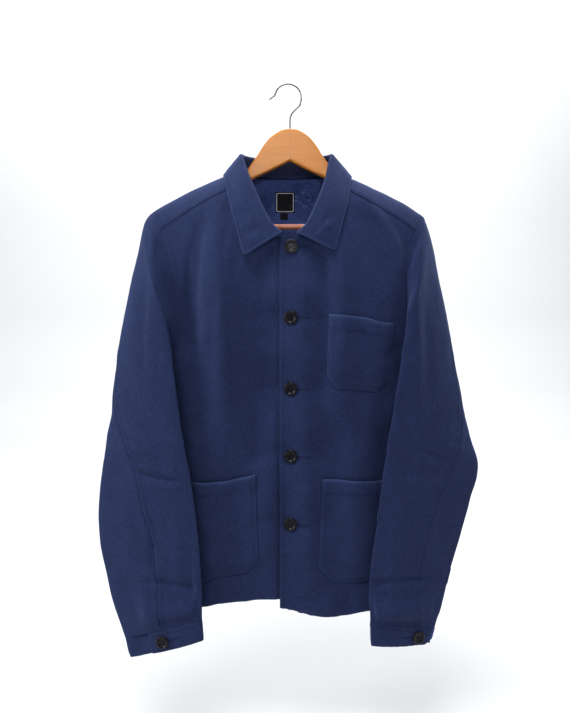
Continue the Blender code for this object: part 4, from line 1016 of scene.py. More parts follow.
def sleevePart(side, part):
    upper = part == "upper"
    elbow, inner, around = sleeve["armCounts"]
    armFrom, armTo = (elbow, inner) if upper else (inner, around)
    us = spread(sleeve["width"][part], 3.3 * mm)
    rows = [armRing(side, shift, armFrom + (armTo - armFrom) * us)
            for shift in (sleeve["gap"], sleeve["gap"] + 2.4 * mm)]
    for row in range(13):
        start, underSeam = sleeve["outline"][side][row][4], sleeve["underSeam"]
        low, high = (start, underSeam) if upper else (underSeam, 1 + start)
        places = low + (high - low) * us
        rows.append(ringAt(side, row, places))
    rows = np.array(rows)
    keys = meanRun(rows, 0)
    vs = spread(keys[-1], 3.5 * mm) * keys[-1]
    points = hermite(keys, rows, vs)
    centre = hermite(keys, np.array([ringPoints(side, max(row - 2, 0)).mean(axis=0)
                                     for row in range(15)]), vs)
    normals = gridNormals(points, points - centre[:, None])
    flat = gridFlat(points)
    # no creases in the flat fold beside the body
    facing = -normals[..., 1] * smoothStep(0.015, 0.085, np.abs(places - 0.375))
    lift, gain = np.zeros(facing.shape), sleeve["creaseGain"]
    for face, ahead in (("front", facing), ("back", -facing)):
        rows = sleeveCreases[side, face]
        lift += gain * creaseLift(points, rows) * smoothStep(0.05, 0.5, ahead)
    x, y, z = np.moveaxis(points, -1, 0)
    seed, belowArm = sleeve["seed"][side], smoothStep(0, 30 * mm, vs)[:, None]
    lift += belowArm * sleeve["longSwell"] * waviness(x * 1.3 + y, z, 30 * mm, 120 * mm, seed)
    lift += sleeve["smallSwell"] * waviness(x + y, z, 17 * mm, 22 * mm, seed + 1)
    calm = smoothStep(0, 14 * mm, vs) * smoothStep(0, 24 * mm, vs[-1] - vs)
    points = points + normals * (lift * calm[:, None])[..., None]
    bands = [(distanceTo(points, [points[:, 0 if upper else -1]]), 8 * mm, 0.5 * mm),
             (distanceTo(points, [points[0]]), 7 * mm, 0.35 * mm)]
    stitches = [("first", distance, np.s_[:]) for distance in sleeve["seamStitches"] if upper]
    points, marks = shapeCloth(points, normals, flat, [], rims(points), sewLines(points, stitches),
                               bands, seamRoll=0.6 * mm)
    # less painted shade along the sleeves' stitches and seams
    marks["stitch"] = marks["stitch"] + 0.7 * mm
    piece = makeSheet("sleeve" + part.capitalize() + side.capitalize(), points, normals,
                      sleeve["wall"], flat, marks, inside="navy")
    addStitches(points, normals, stitches)
    settle(piece, "navy_twill", "sleeve_" + part + "_" + side)


for side in signOf:
    sleevePart(side, "upper")
    sleevePart(side, "under")
print("sleeves ready")

# cuffs, as bands a little longer than one turn

cuff = {
    "wall": 2.0 * mm, "proud": 0.5 * mm, "lap": 0.13, "tuck": (0.90, 0.985), "tuckDepth": 3.0 * mm,
    "start": {"right": 0.12, "left": 0.045}, "button": {"right": 0.185, "left": 0.100},
    "buttonShare": 0.52, "buttonTurn": 5, "height": 34 * mm, "corner": 3.0 * mm,
    "edgeStitch": 2.0 * mm,
    "topStitches": (1.8 * mm, 6.2 * mm), "run": 250 * mm, "seed": {"right": 41, "left": 43},
}


def cuffPlace(side, at, share):
    top, low, before, after = (ringAt(side, row, np.asarray(at) + shift) for row, shift in (
        (12, 0), (13, 0), (13, -0.01), (13, 0.01)))
    return top + (low - top) * share, unit(np.cross(after - before, low - top)) * signOf[side]


def roundCorner(grids, rowEnd, columnEnd, radius):
    # bends the square corner of a grid (and of what goes with it) into a quarter circle
    flip = np.s_[::-1 if rowEnd else 1, ::-1 if columnEnd else 1]
    turned = [grid[flip].copy() for grid in grids]
    rowRun, columnRun = lengthsAlong(turned[0][:, 0]), lengthsAlong(turned[0][0])
    rows, columns = np.nonzero(rowRun < radius)[0], np.nonzero(columnRun < radius)[0]
    source = [grid.copy() for grid in turned]
    for r in rows:
        for c in columns:
            a, b = radius - columnRun[c], radius - rowRun[r]
            share = max(a, b) / math.hypot(a, b)
            i = np.interp(radius - b * share, rowRun, np.arange(len(rowRun)))
            j = np.interp(radius - a * share, columnRun, np.arange(len(columnRun)))
            i0, j0 = int(i), int(j)
            fi, fj = i - i0, j - j0
            for grid, old in zip(turned, source):
                grid[r, c] = ((old[i0, j0] * (1 - fi) + old[i0 + 1, j0] * fi) * (1 - fj)
                              + (old[i0, j0 + 1] * (1 - fi) + old[i0 + 1, j0 + 1] * fi) * fj)
    return [grid[flip] for grid in turned]


def sleeveCuff(side):
    turns = spread(cuff["run"], 2.6 * mm) * (1 + cuff["lap"])
    shares = 0.012 + (1 - 0.012) * spread(cuff["height"], 2.6 * mm)
    rows = [cuffPlace(side, cuff["start"][side] + turns, share) for share in shares]
    points, outward = (np.array(part) for part in zip(*rows))
    under = smoothStep(*cuff["tuck"], turns)[:, None]
    points = points + outward * (cuff["proud"] - under * cuff["tuckDepth"])
    normals = gridNormals(points, outward)
    flat = gridFlat(points)
    swell = 0.5 * mm * waviness(flat[..., 0], flat[..., 1], 22 * mm, 16 * mm, cuff["seed"][side])
    points = points + normals * swell[..., None]
    points, normals, flat = roundCorner([points, normals, flat], True, False, cuff["corner"])
    stitches = [("bottom", distance, np.s_[:]) for distance in cuff["topStitches"]]
    stitches += [(edge, cuff["edgeStitch"], np.s_[:]) for edge in ("top", "first")]
    points, marks = shapeCloth(points, normals, flat, rims(points), [], sewLines(points, stitches),
                               [], 1.0 * mm)
    piece = makeSheet("sleeveCuff" + side.capitalize(), points, normals, cuff["wall"], flat, marks)
    addStitches(points, normals, stitches[:-1] + [stitches[-1] + (0.25, 0.9)])
    settle(piece, "navy_twill", "cuff_" + side)


for side in signOf:
    sleeveCuff(side)
print("cuffs ready")

# collar, lofted through stations from the right front end round the back to the left one

collar = {
    "wall": 1.7 * mm, "rollRadius": (2.6 * mm, 4.2 * mm), "rollFade": (-60, 20),
    "neckMiddleY": -12 * mm, "edgeLift": (2.6 * mm, 5.0 * mm), "standLift": 1.5 * mm,
    "standGap": 0.4 * mm, "bulge": (0.3 * mm, 3.6 * mm), "corner": 7.5 * mm,
    "edgeStitch": 5.6 * mm,
    "stations": [  # roll x y z, free edge x and path, neck seam x and path
        (-12.7, -60.0, -224.4, -67.0, 134, -12.7, 107), (-27, -56.5, -211, -70.5, 122, -31, 99),
        (-42.5, -48.5, -183.3, -78, 93, -52, 80), (-61, -32.5, -143, -88, 54, -71, 50),
        (-71.5, -15, -115, -97.5, 22, -80, 28), (-74, -8.5, -107.5, -100.5, 11, -83, 13),
        (-74, -2, -104.3, -101.5, 0, -84, -3), (-68, 11, -105, -100.5, -26, -74, -15),
        (-46, 22, -107, -82, -52, -46, -24), (-4, 27.5, -106, -4, -62, -4, -28),
        (37, 22, -104.5, 72, -52, 38, -24), (58.5, 11, -103.8, 91.5, -26, 71, -15),
        (63.5, -2, -104.3, 93.5, 0, 81, -3), (64, -8.5, -107.5, 92.5, 11, 80, 13),
        (61.5, -15, -114, 90.5, 22, 77, 28), (53.5, -33.5, -145.2, 84, 50, 66, 50),
        (39.5, -49.5, -180.4, 75, 85, 50, 82), (22.8, -59, -213, 69.5, 110, 27, 101),
        (9.6, -62.5, -224.6, 65.7, 124, 9.6, 109)],
}

collarCreases = [
    (3.4, -4.4, 18, -226, 34, -214, 58, -198), (6, 2.2, 22, -214, 36, -202, 56, -188),
    (6, 2.4, 34, -229, 50, -217, 66, -206), (5, -1.6, -70, -226, -50, -219, -30, -212),
    (6, 1.2, -76, -216, -58, -209, -42, -202), (6, 1.2, -66, -238, -46, -230, -26, -224),
    (6, -1, -80, -190, -70, -196, -58, -196), (8, 0.7, -70, -150, -66, -175, -60, -196),
    (8, 0.7, 60, -150, 58, -178, 54, -200), (4, 0.6, 40, -236, 54, -230, 62, -224)]


def collarProfile(station):
    rollX, rollY, rollZ, edgeX, edgePath, neckX, neckPath = station
    roll = np.array([rollX, rollY, rollZ]) * mm
    neckSpot = spot(np.array(neckX * mm), path=np.array(neckPath * mm))
    edgeSpot = spot(np.array(edgeX * mm), path=np.array(edgePath * mm))
    offRidge = smoothStep(10 * mm, 70 * mm, abs(edgeSpot[1]))
    side = "back" if edgePath < 0 else "left" if rollX > 0 else "right"
    edge, edgeNormal = (value[0] for value in bodySurface(
        edgeSpot[None], side, mixed(collar["edgeLift"], offRidge)))
    neck = bodyPoint(neckSpot) + bodyNormal(neckSpot) * collar["standLift"]
    if rollX > 0 and neck[1] < 0:
        neck[1] -= closureLift(neck[0])
    radius = mixed(collar["rollRadius"], smoothStep(*collar["rollFade"], rollY))
    inward = unit(np.array([middleX - roll[0], collar["neckMiddleY"] - roll[1], 0]))
    bulge = edgeNormal * mixed(collar["bulge"], offRidge)
    inner, outer = roll + inward * radius, roll - inward * radius
    up = np.array([0, 0, radius * 0.8])
    neck = neck + unit(inner - neck) * collar["standGap"]
    points = [neck, (neck + inner) / 2, inner, roll + inward * radius * 0.6 + up * 0.7, roll + up,
              roll - inward * radius * 0.6 + up * 0.7, outer]
    for share in (0.33, 0.67, 1.0):
        points.append(outer + (edge - outer) * share + bulge * math.sin(math.pi * share))
    return np.array(points)


def shirtCollar():
    profiles = np.array([collarProfile(station) for station in collar["stations"]])
    stationKeys, profileKeys = meanRun(profiles[:, 4:], 0), meanRun(profiles, 1)
    fine = hermite(stationKeys, profiles, spread(stationKeys[-1], 2.8 * mm) * stationKeys[-1])
    rollStart, rollEnd = profileKeys[1], profileKeys[7]
    leafRun = profileKeys[-1] - rollEnd
    vs = np.concatenate([np.linspace(0, rollStart, 9)[:-1],
                         np.linspace(rollStart, rollEnd, 15)[:-1],
                         rollEnd + spread(leafRun, 2.8 * mm, fineStart=False) * leafRun])
    points = hermite(profileKeys, fine.transpose(1, 0, 2), vs)
    leaf = vs > rollEnd
    normals = gridNormals(points, np.ones_like(points))
    if normals[leaf][:, :12, 1].mean() > 0:  # the leaf's outer face looks forward at its ends
        normals = -normals
    flat = gridFlat(points)[..., ::-1]
    lift = creaseLift(points, collarCreases) * leaf[:, None] * smoothStep(
        0.1, 0.5, -normals[..., 1])
    lift += 0.35 * mm * waviness(flat[..., 0], flat[..., 1], 20 * mm, 26 * mm, 51) * leaf[:, None]
    points = points + normals * lift[..., None]
    for columnEnd in (False, True):
        points, normals, flat = roundCorner([points, normals, flat], True, columnEnd,
                                            collar["corner"])
    leaves, distance = np.s_[int(np.argmax(leaf)):], collar["edgeStitch"]
    lines = sewLines(points, [("top", distance, np.s_[:]), ("first", distance, leaves),
                              ("last", distance, leaves)])
    points, marks = shapeCloth(points, normals, flat, rims(points)[1:], [points[0]], lines, [],
                               0.9 * mm)
    piece = makeSheet("shirtCollar", points, normals, collar["wall"], flat, marks)
    inside = distance / stationKeys[-1]
    addStitches(points, normals, [("top", distance, np.s_[:], inside, 1 - inside)]
                + [(edge, distance, leaves, 0.05, 0.86) for edge in ("first", "last")])
    settle(piece, "navy_twill", "collar")


shirtCollar()
print("collar ready")


def seat(name, x, z):  # the place on a piece seen from the front, and its normal
    place, normal, _, _ = outerFaces[name].ray_cast(Vector((x, -1, z)), Vector((0, 1, 0)))
    return place, (normal if normal.y < 0 else -normal)


def seatLine(name, rows, step=1.2 * mm):  # a line of x, z points laid on a piece
    rows = np.array(rows, float)
    run = lengthsAlong(rows)
    goal = np.linspace(0, run[-1], max(int(run[-1] / step), 2))
    hits = [seat(name, *(np.interp(g, run, rows[:, i]) for i in (0, 1))) for g in goal]
    return tuple(np.array(part) for part in zip(*hits))


# patch pockets, in x and z: outlines run down the left side, along the bottom and up the right

pocket = {
    "wall": 0.9 * mm, "sewnLift": 1.05 * mm, "lift": 2.1 * mm, "fullness": 2.0 * mm,
    "ramp": 7 * mm, "hemDepth": 21 * mm, "stitches": (1.7 * mm, 6.6 * mm),
    "hemBand": 0.9 * mm, "chamferRound": 1.5,
    "patches": {
        "chest": {
            "side": "left", "node": "pocket_chest", "chamfer": (16, 14), "flat": (0.100, 0.120),
            "top": [(58.5, -342), (86, -344.5), (113, -348), (136, -354.5), (155.5, -356)],
            "bottom": [(53.5, -452), (144.5, -459)]},
        "lowerRight": {
            "side": "right", "node": "pocket_lower_right", "chamfer": (20, 20),
            "flat": (0.140, 0.180),
            "top": [(-181, -597), (-153, -597.5), (-136, -598), (-101.5, -595), (-76, -590),
                    (-53, -584.5)],
            "bottom": [(-180, -762), (-138, -757), (-104, -747.5), (-49, -741)]},
        "lowerLeft": {
            "side": "left", "node": "pocket_lower_left", "chamfer": (23, 22),
            "flat": (0.145, 0.180),
            "top": [(48.5, -592), (80, -592.5), (110, -595), (141, -597), (173, -597)],
            "bottom": [(43.5, -755.5), (90, -757), (130, -755), (172, -759)]}},
}

pocketCreases = {
    "chest": [
        (9, 0.8, 70, -372, 76, -400, 74, -436), (9, -0.8, 128, -380, 120, -410, 124, -440),
        (8, 0.7, 92, -370, 100, -392, 96, -420), (5, 0.4, 60, -352, 84, -356, 104, -360),
        (6, -0.6, 74, -446, 96, -440, 118, -446)],
    "lowerRight": [
        (10, 0.9, -64, -612, -70, -660, -66, -716), (10, -1, -90, -620, -96, -670, -92, -730),
        (11, 0.9, -124, -620, -120, -680, -126, -736), (5, -0.7, -62, -604, -84, -612, -104, -612),
        (7, 0.7, -70, -728, -92, -722, -112, -728), (9, -0.7, -150, -700, -130, -690, -106, -694)],
    "lowerLeft": [
        (10, 0.8, 62, -620, 68, -670, 60, -728), (11, -0.9, 92, -616, 88, -670, 94, -732),
        (11, 0.9, 122, -620, 126, -680, 122, -736), (5, 0.6, 56, -606, 76, -612, 96, -612),
        (7, -0.7, 66, -744, 90, -738, 116, -742)],
}


def insetLine(corners, distance):  # a polyline moved to its left-hand side, mitred
    corners = np.array(corners, float)
    steps = np.diff(corners, axis=0)
    steps /= np.linalg.norm(steps, axis=1, keepdims=True)
    sides = np.stack([-steps[:, 1], steps[:, 0]], axis=1)
    moved = [corners[0] + sides[0] * distance]
    for i in range(1, len(corners) - 1):
        middle = sides[i - 1] + sides[i]
        moved.append(corners[i] + middle * distance / (1 + sides[i - 1].dot(sides[i])))
    moved.append(corners[-1] + sides[-1] * distance)
    return np.array(moved)


def patchPocket(patch):
    row = pocket["patches"][patch]
    top, bottom = np.array(row["top"], float) * mm, np.array(row["bottom"], float) * mm
    height, width = top[0, 1] - bottom[0, 1], bottom[-1, 0] - bottom[0, 0]
    us, vs = spread(width, 3.0 * mm), spread(height, 3.0 * mm)
    upper, lower = atShares(top, us), atShares(bottom, us)
    flat = upper[None] + (lower - upper)[None] * vs[:, None, None]
    soft, near = pocket["chamferRound"] * mm, (1 - vs) * height
    cutLeft, cutRight = (0.5 * (cut - near + np.sqrt((cut - near) ** 2 + soft ** 2)) * smoothStep(
        cut + 6 * mm, cut, near) for cut in (cut * mm for cut in row["chamfer"]))
    flat[..., 0] += cutLeft[:, None] * (1 - us) - cutRight[:, None] * us
    places = spot(flat[..., 0], flat[..., 1], face=1)
    full = np.sin(math.pi * us[None]) * np.sin(math.pi * (0.25 + 0.75 * vs[:, None]))
    sewn = np.minimum(np.minimum(us * width, (1 - us) * width)[None], near[:, None])
    rise, low = smoothStep(0, pocket["ramp"], sewn), pocket["sewnLift"]
    raised = low + (pocket["lift"] - low + pocket["fullness"] * full) * rise
    points, normals = bodySurface(places, row["side"], raised)
    points = points + normals * (creaseLift(points, pocketCreases[patch]) * rise)[..., None]
    outline = np.concatenate([flat[:, 0], flat[-1, 1:-1], flat[::-1, -1]])
    outline = outline[np.append(True, np.linalg.norm(np.diff(outline, axis=0), axis=1) > 1.2 * mm)]
    paths = [insetLine(outline, distance)[1:-1] for distance in pocket["stitches"]]
    level = pocket["hemDepth"] / height
    paths.append(atShares(upper + (lower - upper) * level, np.linspace(0.012, 0.988, 30)))
    name = "pocket" + patch[0].upper() + patch[1:]
    outerFaces[name] = BVHTree.FromPolygons(points.reshape(-1, 3).tolist(),
                                            gridFaces(points).tolist())
    lines = [seatLine(name, path)[0] for path in paths]
    edges = rims(points)
    topGap, sideGap = distanceTo(points, edges[:1]), distanceTo(points, edges[1:])
    bands = [(topGap, pocket["hemDepth"], pocket["hemBand"]), (sideGap, 8.5 * mm, 0.3 * mm)]
    clothFlat = clothPlace(places) + np.array([0.011, 0.007])
    points, marks = shapeCloth(points, normals, clothFlat, edges, [], lines, bands, 0.6 * mm)
    # paler edges, a full band along the top: wear and painted highlight
    marks["edge"] = np.minimum(marks["edge"] - 0.8 * mm, topGap - 2.6 * mm)
    piece = makeSheet(name, points, normals, pocket["wall"], clothFlat, marks)
    stitchRuns.extend(seatLine(name, path) for path in paths)
    settle(piece, "navy_twill", row["node"])


for patch in pocket["patches"]:
    patchPocket(patch)
print("pockets ready")


# neck label, bare inside its border, with a size tab under it

label = {
    "wall": 0.6 * mm, "gap": 0.25 * mm, "borderInset": 3.4 * mm,
    "borderLine": 1.9 * mm, "borderWidth": 0.62 * mm,
    "black": ((0.004, 0.004, 0.006, 1), (0.013, 0.013, 0.017, 1)),
    "pale": (0.88, 0.89, 0.92, 1), "shader": {"Roughness": 0.62, "Specular IOR Level": 0.12},
    "pieces": {"neckLabel": ("label", (-22.5, -154, 7.5, -185.5), 1.6 * mm),
               "sizeTab": ("size_tab", (-15, -186.5, -3, -196), 0.8 * mm)},
}


def wovenMaterial():
    material, tree, shader = startMaterial("wovenLabel", label["shader"])
    calc = partial(mathNode, tree)
    place = addNode(tree, "ShaderNodeUVMap", uv_map="flatCloth").outputs["UV"]
    border = addNode(tree, "ShaderNodeAttribute", attribute_name="border").outputs["Fac"]
    threads = calc("MULTIPLY", *(calc("SINE", calc("MULTIPLY", way, 2 * math.pi * count))
                                 for way, count in zip(splitNode(tree, place), (2600, 2200))))
    gap = calc("ABSOLUTE", calc("SUBTRACT", border, label["borderLine"]))
    line = calc("SUBTRACT", 1.0, calc("MULTIPLY", gap, 1 / label["borderWidth"]), clamp=True)
    line = calc("MULTIPLY", calc("POWER", line, 0.45),
                calc("MULTIPLY_ADD", threads, 0.14, 0.86), clamp=True)
    base = blendColours(tree, calc("MULTIPLY_ADD", threads, 0.5, 0.5), *label["black"])
    tree.links.new(blendColours(tree, line, base, label["pale"]), shader.inputs["Base Color"])
    addBump(tree, shader, threads, 0.5, 0.12 * mm)
    return material


materials["woven"] = wovenMaterial()


def evenRun(low, high, count):  # a small patch is too short for closer rows at its edges
    if high - low < 24 * mm:
        return np.linspace(low, high, count)
    return low + (high - low) * spread(high - low, 1.4 * mm)


def neckPatch(name):
    node, box, corner = label["pieces"][name]
    left, top, right, bottom = (value * mm for value in box)
    x, z = np.meshgrid(evenRun(left, right, 14), evenRun(bottom, top, 12))
    points, normals = bodySurface(spot(x, z, face=-1), "back")
    points = points - normals * (body["wall"] + label["gap"] + label["wall"])
    flat, outward = np.stack([x - (left + right) / 2, z - (top + bottom) / 2], axis=-1), -normals
    for rowEnd in (False, True):
        for columnEnd in (False, True):
            points, outward, flat = roundCorner([points, outward, flat], rowEnd, columnEnd, corner)
    half = np.array([(right - left) / 2, (top - bottom) / 2])
    reach = np.abs(flat) - (half - label["borderInset"])
    outside = np.linalg.norm(np.maximum(reach, 0), axis=-1) + np.minimum(reach.max(axis=-1), 0)
    far = np.full(x.shape, 0.05)
    inset = label["borderInset"] - outside if name == "neckLabel" else far
    sag = 0.25 * mm * waviness(flat[..., 0], flat[..., 1], 9 * mm, 9 * mm, 61)
    piece = makeSheet(name, points + outward * sag[..., None], outward, label["wall"], flat,
                      {"edge": far, "stitch": far, "border": inset}, "woven", None)
    settle(piece, "woven_label", node)


for name in label["pieces"]:
    neckPatch(name)
print("label ready")


# buttons, turned once and set down seven times

button = {
    "radius": 10.2 * mm, "height": 3.6 * mm, "holeRadius": 0.95 * mm, "holePlace": 1.75 * mm,
    "threadRadius": 0.27 * mm, "gap": 0.35 * mm, "x": 1.3 * mm,
    "z": [-243.5 * mm, -347.5 * mm, -454 * mm, -557 * mm, -662.5 * mm],
    "turns": [3, -8, 12, -4, 7], "profile": [  # shares of radius and height
        (0, 0.50), (0.20, 0.49), (0.40, 0.47), (0.50, 0.48), (0.57, 0.54), (0.62, 0.66),
        (0.67, 0.82), (0.73, 0.94), (0.80, 1.0), (0.87, 0.985), (0.94, 0.91), (0.985, 0.78),
        (1.0, 0.60), (0.975, 0.40), (0.92, 0.18), (0.86, 0.05), (0.80, 0.0), (0.4, 0.0), (0, 0.0)],
}


# name, two colours, noise, bump, shader's values, then roughness's range and start, noise's stretch
finishes = {
    "horn": ("darkHorn", (0.002, 0.002, 0.004, 1), (0.006, 0.006, 0.010, 1), (160.0, 5.0, 0.6),
             (0.12, 0.1 * mm), {"Specular IOR Level": 0.24}, (0.10, 0.27), (300, 2400, 2400)),
    "wire": ("platedWire", (0.13, 0.13, 0.135, 1), (0.24, 0.24, 0.24, 1), (500.0, 4.0),
             (0.1, 0.1 * mm), {"Metallic": 1.0}, (0.22, 0.20)),
}
for key, dark, light in (
        ("blackThread", (0.008, 0.008, 0.010, 1), (0.030, 0.030, 0.036, 1)),
        ("navyThread", (0.012, 0.018, 0.058, 1), (0.032, 0.046, 0.130, 1)),
        # the last is painted shadow for the buttonholes' slits
        ("slitShadowDark", (0.008, 0.011, 0.034, 1), (0.020, 0.028, 0.074, 1))):
    finishes[key] = (key, dark, light, (2600.0, 2.0), (0.4, 0.08 * mm),
                     {"Roughness": 0.7, "Specular IOR Level": 0.08})


def speckled(name, dark, light, noise, bump, settings, roughness=None, stretch=None):
    material, tree, shader = startMaterial(name, settings)
    place = addNode(tree, "ShaderNodeTexCoord").outputs["Object"]
    specks = noiseNode(tree, place, *noise)
    tree.links.new(blendColours(tree, specks, dark, light), shader.inputs["Base Color"])
    if stretch:
        specks = noiseNode(tree, stretched(tree, place, stretch), 1.0, 2.0)
    if roughness:
        tree.links.new(mathNode(tree, "MULTIPLY_ADD", specks, *roughness),
                       shader.inputs["Roughness"])
    addBump(tree, shader, specks, *bump)
    return material


for key, row in finishes.items():
    materials[key] = speckled(*row)


def plainMesh(shape, name, sharp=None):
    bmesh.ops.recalc_face_normals(shape, faces=shape.faces)
    mesh = bpy.data.meshes.new(name)
    shape.to_mesh(mesh)
    shape.free()
    mesh.shade_smooth()
    if sharp:
        mesh.set_sharp_from_angle(angle=math.radians(sharp))
    return mesh


def skinRings(shape, rings):  # walls between rings of points, closed at both ends
    for low, high in zip(rings, rings[1:]):
        for k in range(len(low)):
            n = (k + 1) % len(low)
            shape.faces.new((low[k], low[n], high[n], high[k]))
    shape.faces.new(rings[0][::-1])
    shape.faces.new(rings[-1])


def evaluatedMesh(piece, name):  # the piece with its modifiers applied, as a plain mesh
    bpy.context.view_layer.update()
    graph = bpy.context.evaluated_depsgraph_get()
    mesh = bpy.data.meshes.new_from_object(piece.evaluated_get(graph))
    mesh.name = name
    bpy.data.objects.remove(piece, do_unlink=True)
    return mesh


def turnedButton():
    shape = bmesh.new()
    points = [shape.verts.new((r * button["radius"], 0, h * button["height"]))
              for r, h in button["profile"]]
    edges = [shape.edges.new(pair) for pair in zip(points, points[1:])]
    bmesh.ops.spin(shape, geom=points + edges, cent=(0, 0, 0), axis=(0, 0, 1),
                   angle=2 * math.pi, steps=56)
    bmesh.ops.remove_doubles(shape, verts=shape.verts, dist=0.00001)
    blank = linkPiece("buttonBlank", plainMesh(shape, "buttonBlank"), "horn")
    shape, radius, place = bmesh.new(), button["holeRadius"], button["holePlace"]
    for x in (-place, place):
        for y in (-place, place):
            bmesh.ops.create_cone(shape, cap_ends=True, segments=18, radius1=radius,
                                  radius2=radius, depth=12 * mm,
                                  matrix=Matrix.Translation((x, y, 0)))
    holes = linkPiece("buttonHoles", plainMesh(shape, "buttonHoles"), "horn")
    cut = blank.modifiers.new("holes", "BOOLEAN")
    cut.operation, cut.solver, cut.object = "DIFFERENCE", "EXACT", holes
    done = evaluatedMesh(blank, "turnedButton")
    bpy.data.objects.remove(holes, do_unlink=True)
    done.shade_smooth()
    done.set_sharp_from_angle(angle=math.radians(40))
    return done


def tube(shape, points, radius, sides=8):  # a round tube along points, with closed ends
    points = [Vector(point) for point in points]
    rings = []
    for i, point in enumerate(points):
        ahead = points[min(i + 1, len(points) - 1)] - points[max(i - 1, 0)]
        turn = ahead.to_track_quat("Z", "Y")
        size = radius * (0.75 if i in (0, len(points) - 1) else 1)
        angles = (2 * math.pi * k / sides for k in range(sides))
        rings.append([shape.verts.new(point + turn @ Vector(
            (size * math.cos(angle), size * math.sin(angle), 0))) for angle in angles])
    skinRings(shape, rings)


def buttonThreads():
    shape = bmesh.new()
    base, reach = 0.49 * button["height"], button["holePlace"]
    for side in (-1, 1):
        for k, shift in enumerate((-0.42, 0.0, 0.42)):
            x = side * reach + shift * mm
            points = []
            for t in np.linspace(0, 1, 9):
                y = reach * (1 - 2 * t)
                lift = 0.55 * mm * math.sin(math.pi * t) ** 0.6 + (0.12 * mm if k == 1 else 0)
                drop = -1.2 * mm if t in (0, 1) else 0
                points.append((x * (1 - 0.10 * abs(2 * t - 1)), y, base + lift + drop))
            tube(shape, points, button["threadRadius"])
    for angle in range(0, 360, 60):  # the thread under the button
        x, y = 1.1 * mm * math.cos(math.radians(angle)), 1.1 * mm * math.sin(math.radians(angle))
        tube(shape, [(x, y, 0.3 * mm), (x, y, -1.2 * mm)], 0.5 * mm, 6)
    return plainMesh(shape, "buttonThreads")


def setButtons():
    blank, threads = turnedButton(), buttonThreads()
    seats = []
    for number, (z, turn) in enumerate(zip(button["z"], button["turns"]), start=1):
        seats.append((f"Front{number}", f"button_front_{number}",
                      *seat("frontPanelLeft", button["x"], z), turn))
    for side in signOf:
        place, outward = (value.reshape(3) for value in
                          cuffPlace(side, cuff["button"][side], cuff["buttonShare"]))
        place = place + outward * cuff["proud"]
        seats.append(("Cuff" + side.capitalize(), "button_cuff_" + side, Vector(place),
                      Vector(outward), cuff["buttonTurn"]))
    for tail, node, place, outward, turn in seats:
        frameOf = Matrix.Translation(place + outward * button["gap"]) @ outward.to_track_quat(
            "Z", "Y").to_matrix().to_4x4() @ Matrix.Rotation(math.radians(turn), 4, "Z")
        for prefix, source, finish, slot, replaced in (
                ("button", blank, "horn", "dark_button", [node]),
                ("buttonThread", threads, "blackThread", "navy_twill", [])):
            mesh = source.copy()
            mesh.transform(frameOf)
            settle(linkPiece(prefix + tail, mesh, finish), slot, *replaced)


setButtons()
print("buttons ready")


# wooden hanger with its bar and wire hook

hanger = {
    "thickness": 13 * mm, "underRidge": 6.5 * mm, "joint": 0.05 * mm, "rounding": 3.0 * mm,
    "top": [(0, -64.6), (9, -65.6), (18, -69.4), (30, -77.7), (41, -90.9), (50, -105), (60, -118.5),
            (68, -131), (76, -141)],
    "onRidge": [88, 106, 126, 146, 166, 184],
    "end": [(194, -196), (197, -205), (194, -215), (187, -221), (178, -222), (170, -217),
            (166, -208), (158, -197)],
    "lower": [(140, -186), (115, -172), (88, -156.5), (59.5, -140.4), (32, -127.4), (14, -118.7),
              (0, -112.0)],
    "barRadius": 4.5 * mm, "barZ": -210.3 * mm, "barHalf": 176 * mm, "wireRadius": 1.4 * mm,
    "hookCentre": (-3 * mm, -18.6 * mm), "hookRadius": 20 * mm, "hookArc": (-10, 168),
    "stem": [(0, -83), (0, -70), (0, -57), (0.4, -48), (3.6, -41), (9, -35.5), (14.6, -29.5)],
    "tip": [(-25.4, -17.2), (-30.2, -20.4)],
    "shader": {"Specular IOR Level": 0.3, "Coat Weight": 0.12, "Coat Roughness": 0.28},
    "woods": {  # name, light and dark colour, roughness, grain's stretch, joint line
        "wood": ("amberWood", (0.60, 0.228, 0.026, 1), (0.47, 0.152, 0.014, 1), 0.36,
                 (9, 120, 150), 0.35),
        "salmon": ("salmonWood", (0.56, 0.215, 0.135, 1), (0.43, 0.145, 0.088, 1), 0.45,
                   (12, 160, 160), 0.0)},
}


def woodMaterial(name, light, dark, rough, stretch, jointLine):
    material, tree, shader = startMaterial(name, hanger["shader"])
    calc = partial(mathNode, tree)
    place = addNode(tree, "ShaderNodeTexCoord").outputs["Object"]
    moved = addNode(tree, "ShaderNodeCombineXYZ")
    tree.links.new(calc("MULTIPLY", noiseNode(tree, place, 9.0, 3.0), 0.012), moved.inputs[2])
    shift = addNode(tree, "ShaderNodeVectorMath", operation="ADD")
    feed(tree, shift.inputs, (place, moved.outputs[0]))
    finer = tuple(size * times for size, times in zip(stretch, (5, 9, 9)))
    bands = noiseNode(tree, stretched(tree, shift.outputs[0], stretch), 1.0, 5.0, 0.62)
    fleck = noiseNode(tree, stretched(tree, shift.outputs[0], finer), 1.0, 2.0)
    contrast = calc("MULTIPLY_ADD", calc("SUBTRACT", bands, 0.5), 1.5, 0.42, clamp=True)
    specks = calc("MULTIPLY", calc("SUBTRACT", fleck, 0.60), 3.0, clamp=True)
    x = splitNode(tree, place)[0]  # for the dark line between the arms
    joint = calc("MULTIPLY_ADD", calc("MULTIPLY", x, x), -jointLine / (0.7 * mm) ** 2, jointLine,
                 clamp=True)
    colour = blendColours(tree, contrast, light, dark)
    colour = blendColours(tree, specks, colour, darkened(dark, 0.55))
    colour = blendColours(tree, joint, colour, darkened(dark, 0.3))
    tree.links.new(colour, shader.inputs["Base Color"])
    tree.links.new(calc("MULTIPLY_ADD", fleck, 0.18, rough - 0.09), shader.inputs["Roughness"])
    addBump(tree, shader, fleck, 0.12, 0.3 * mm)
    return material


for key, row in hanger["woods"].items():
    materials[key] = woodMaterial(*row)


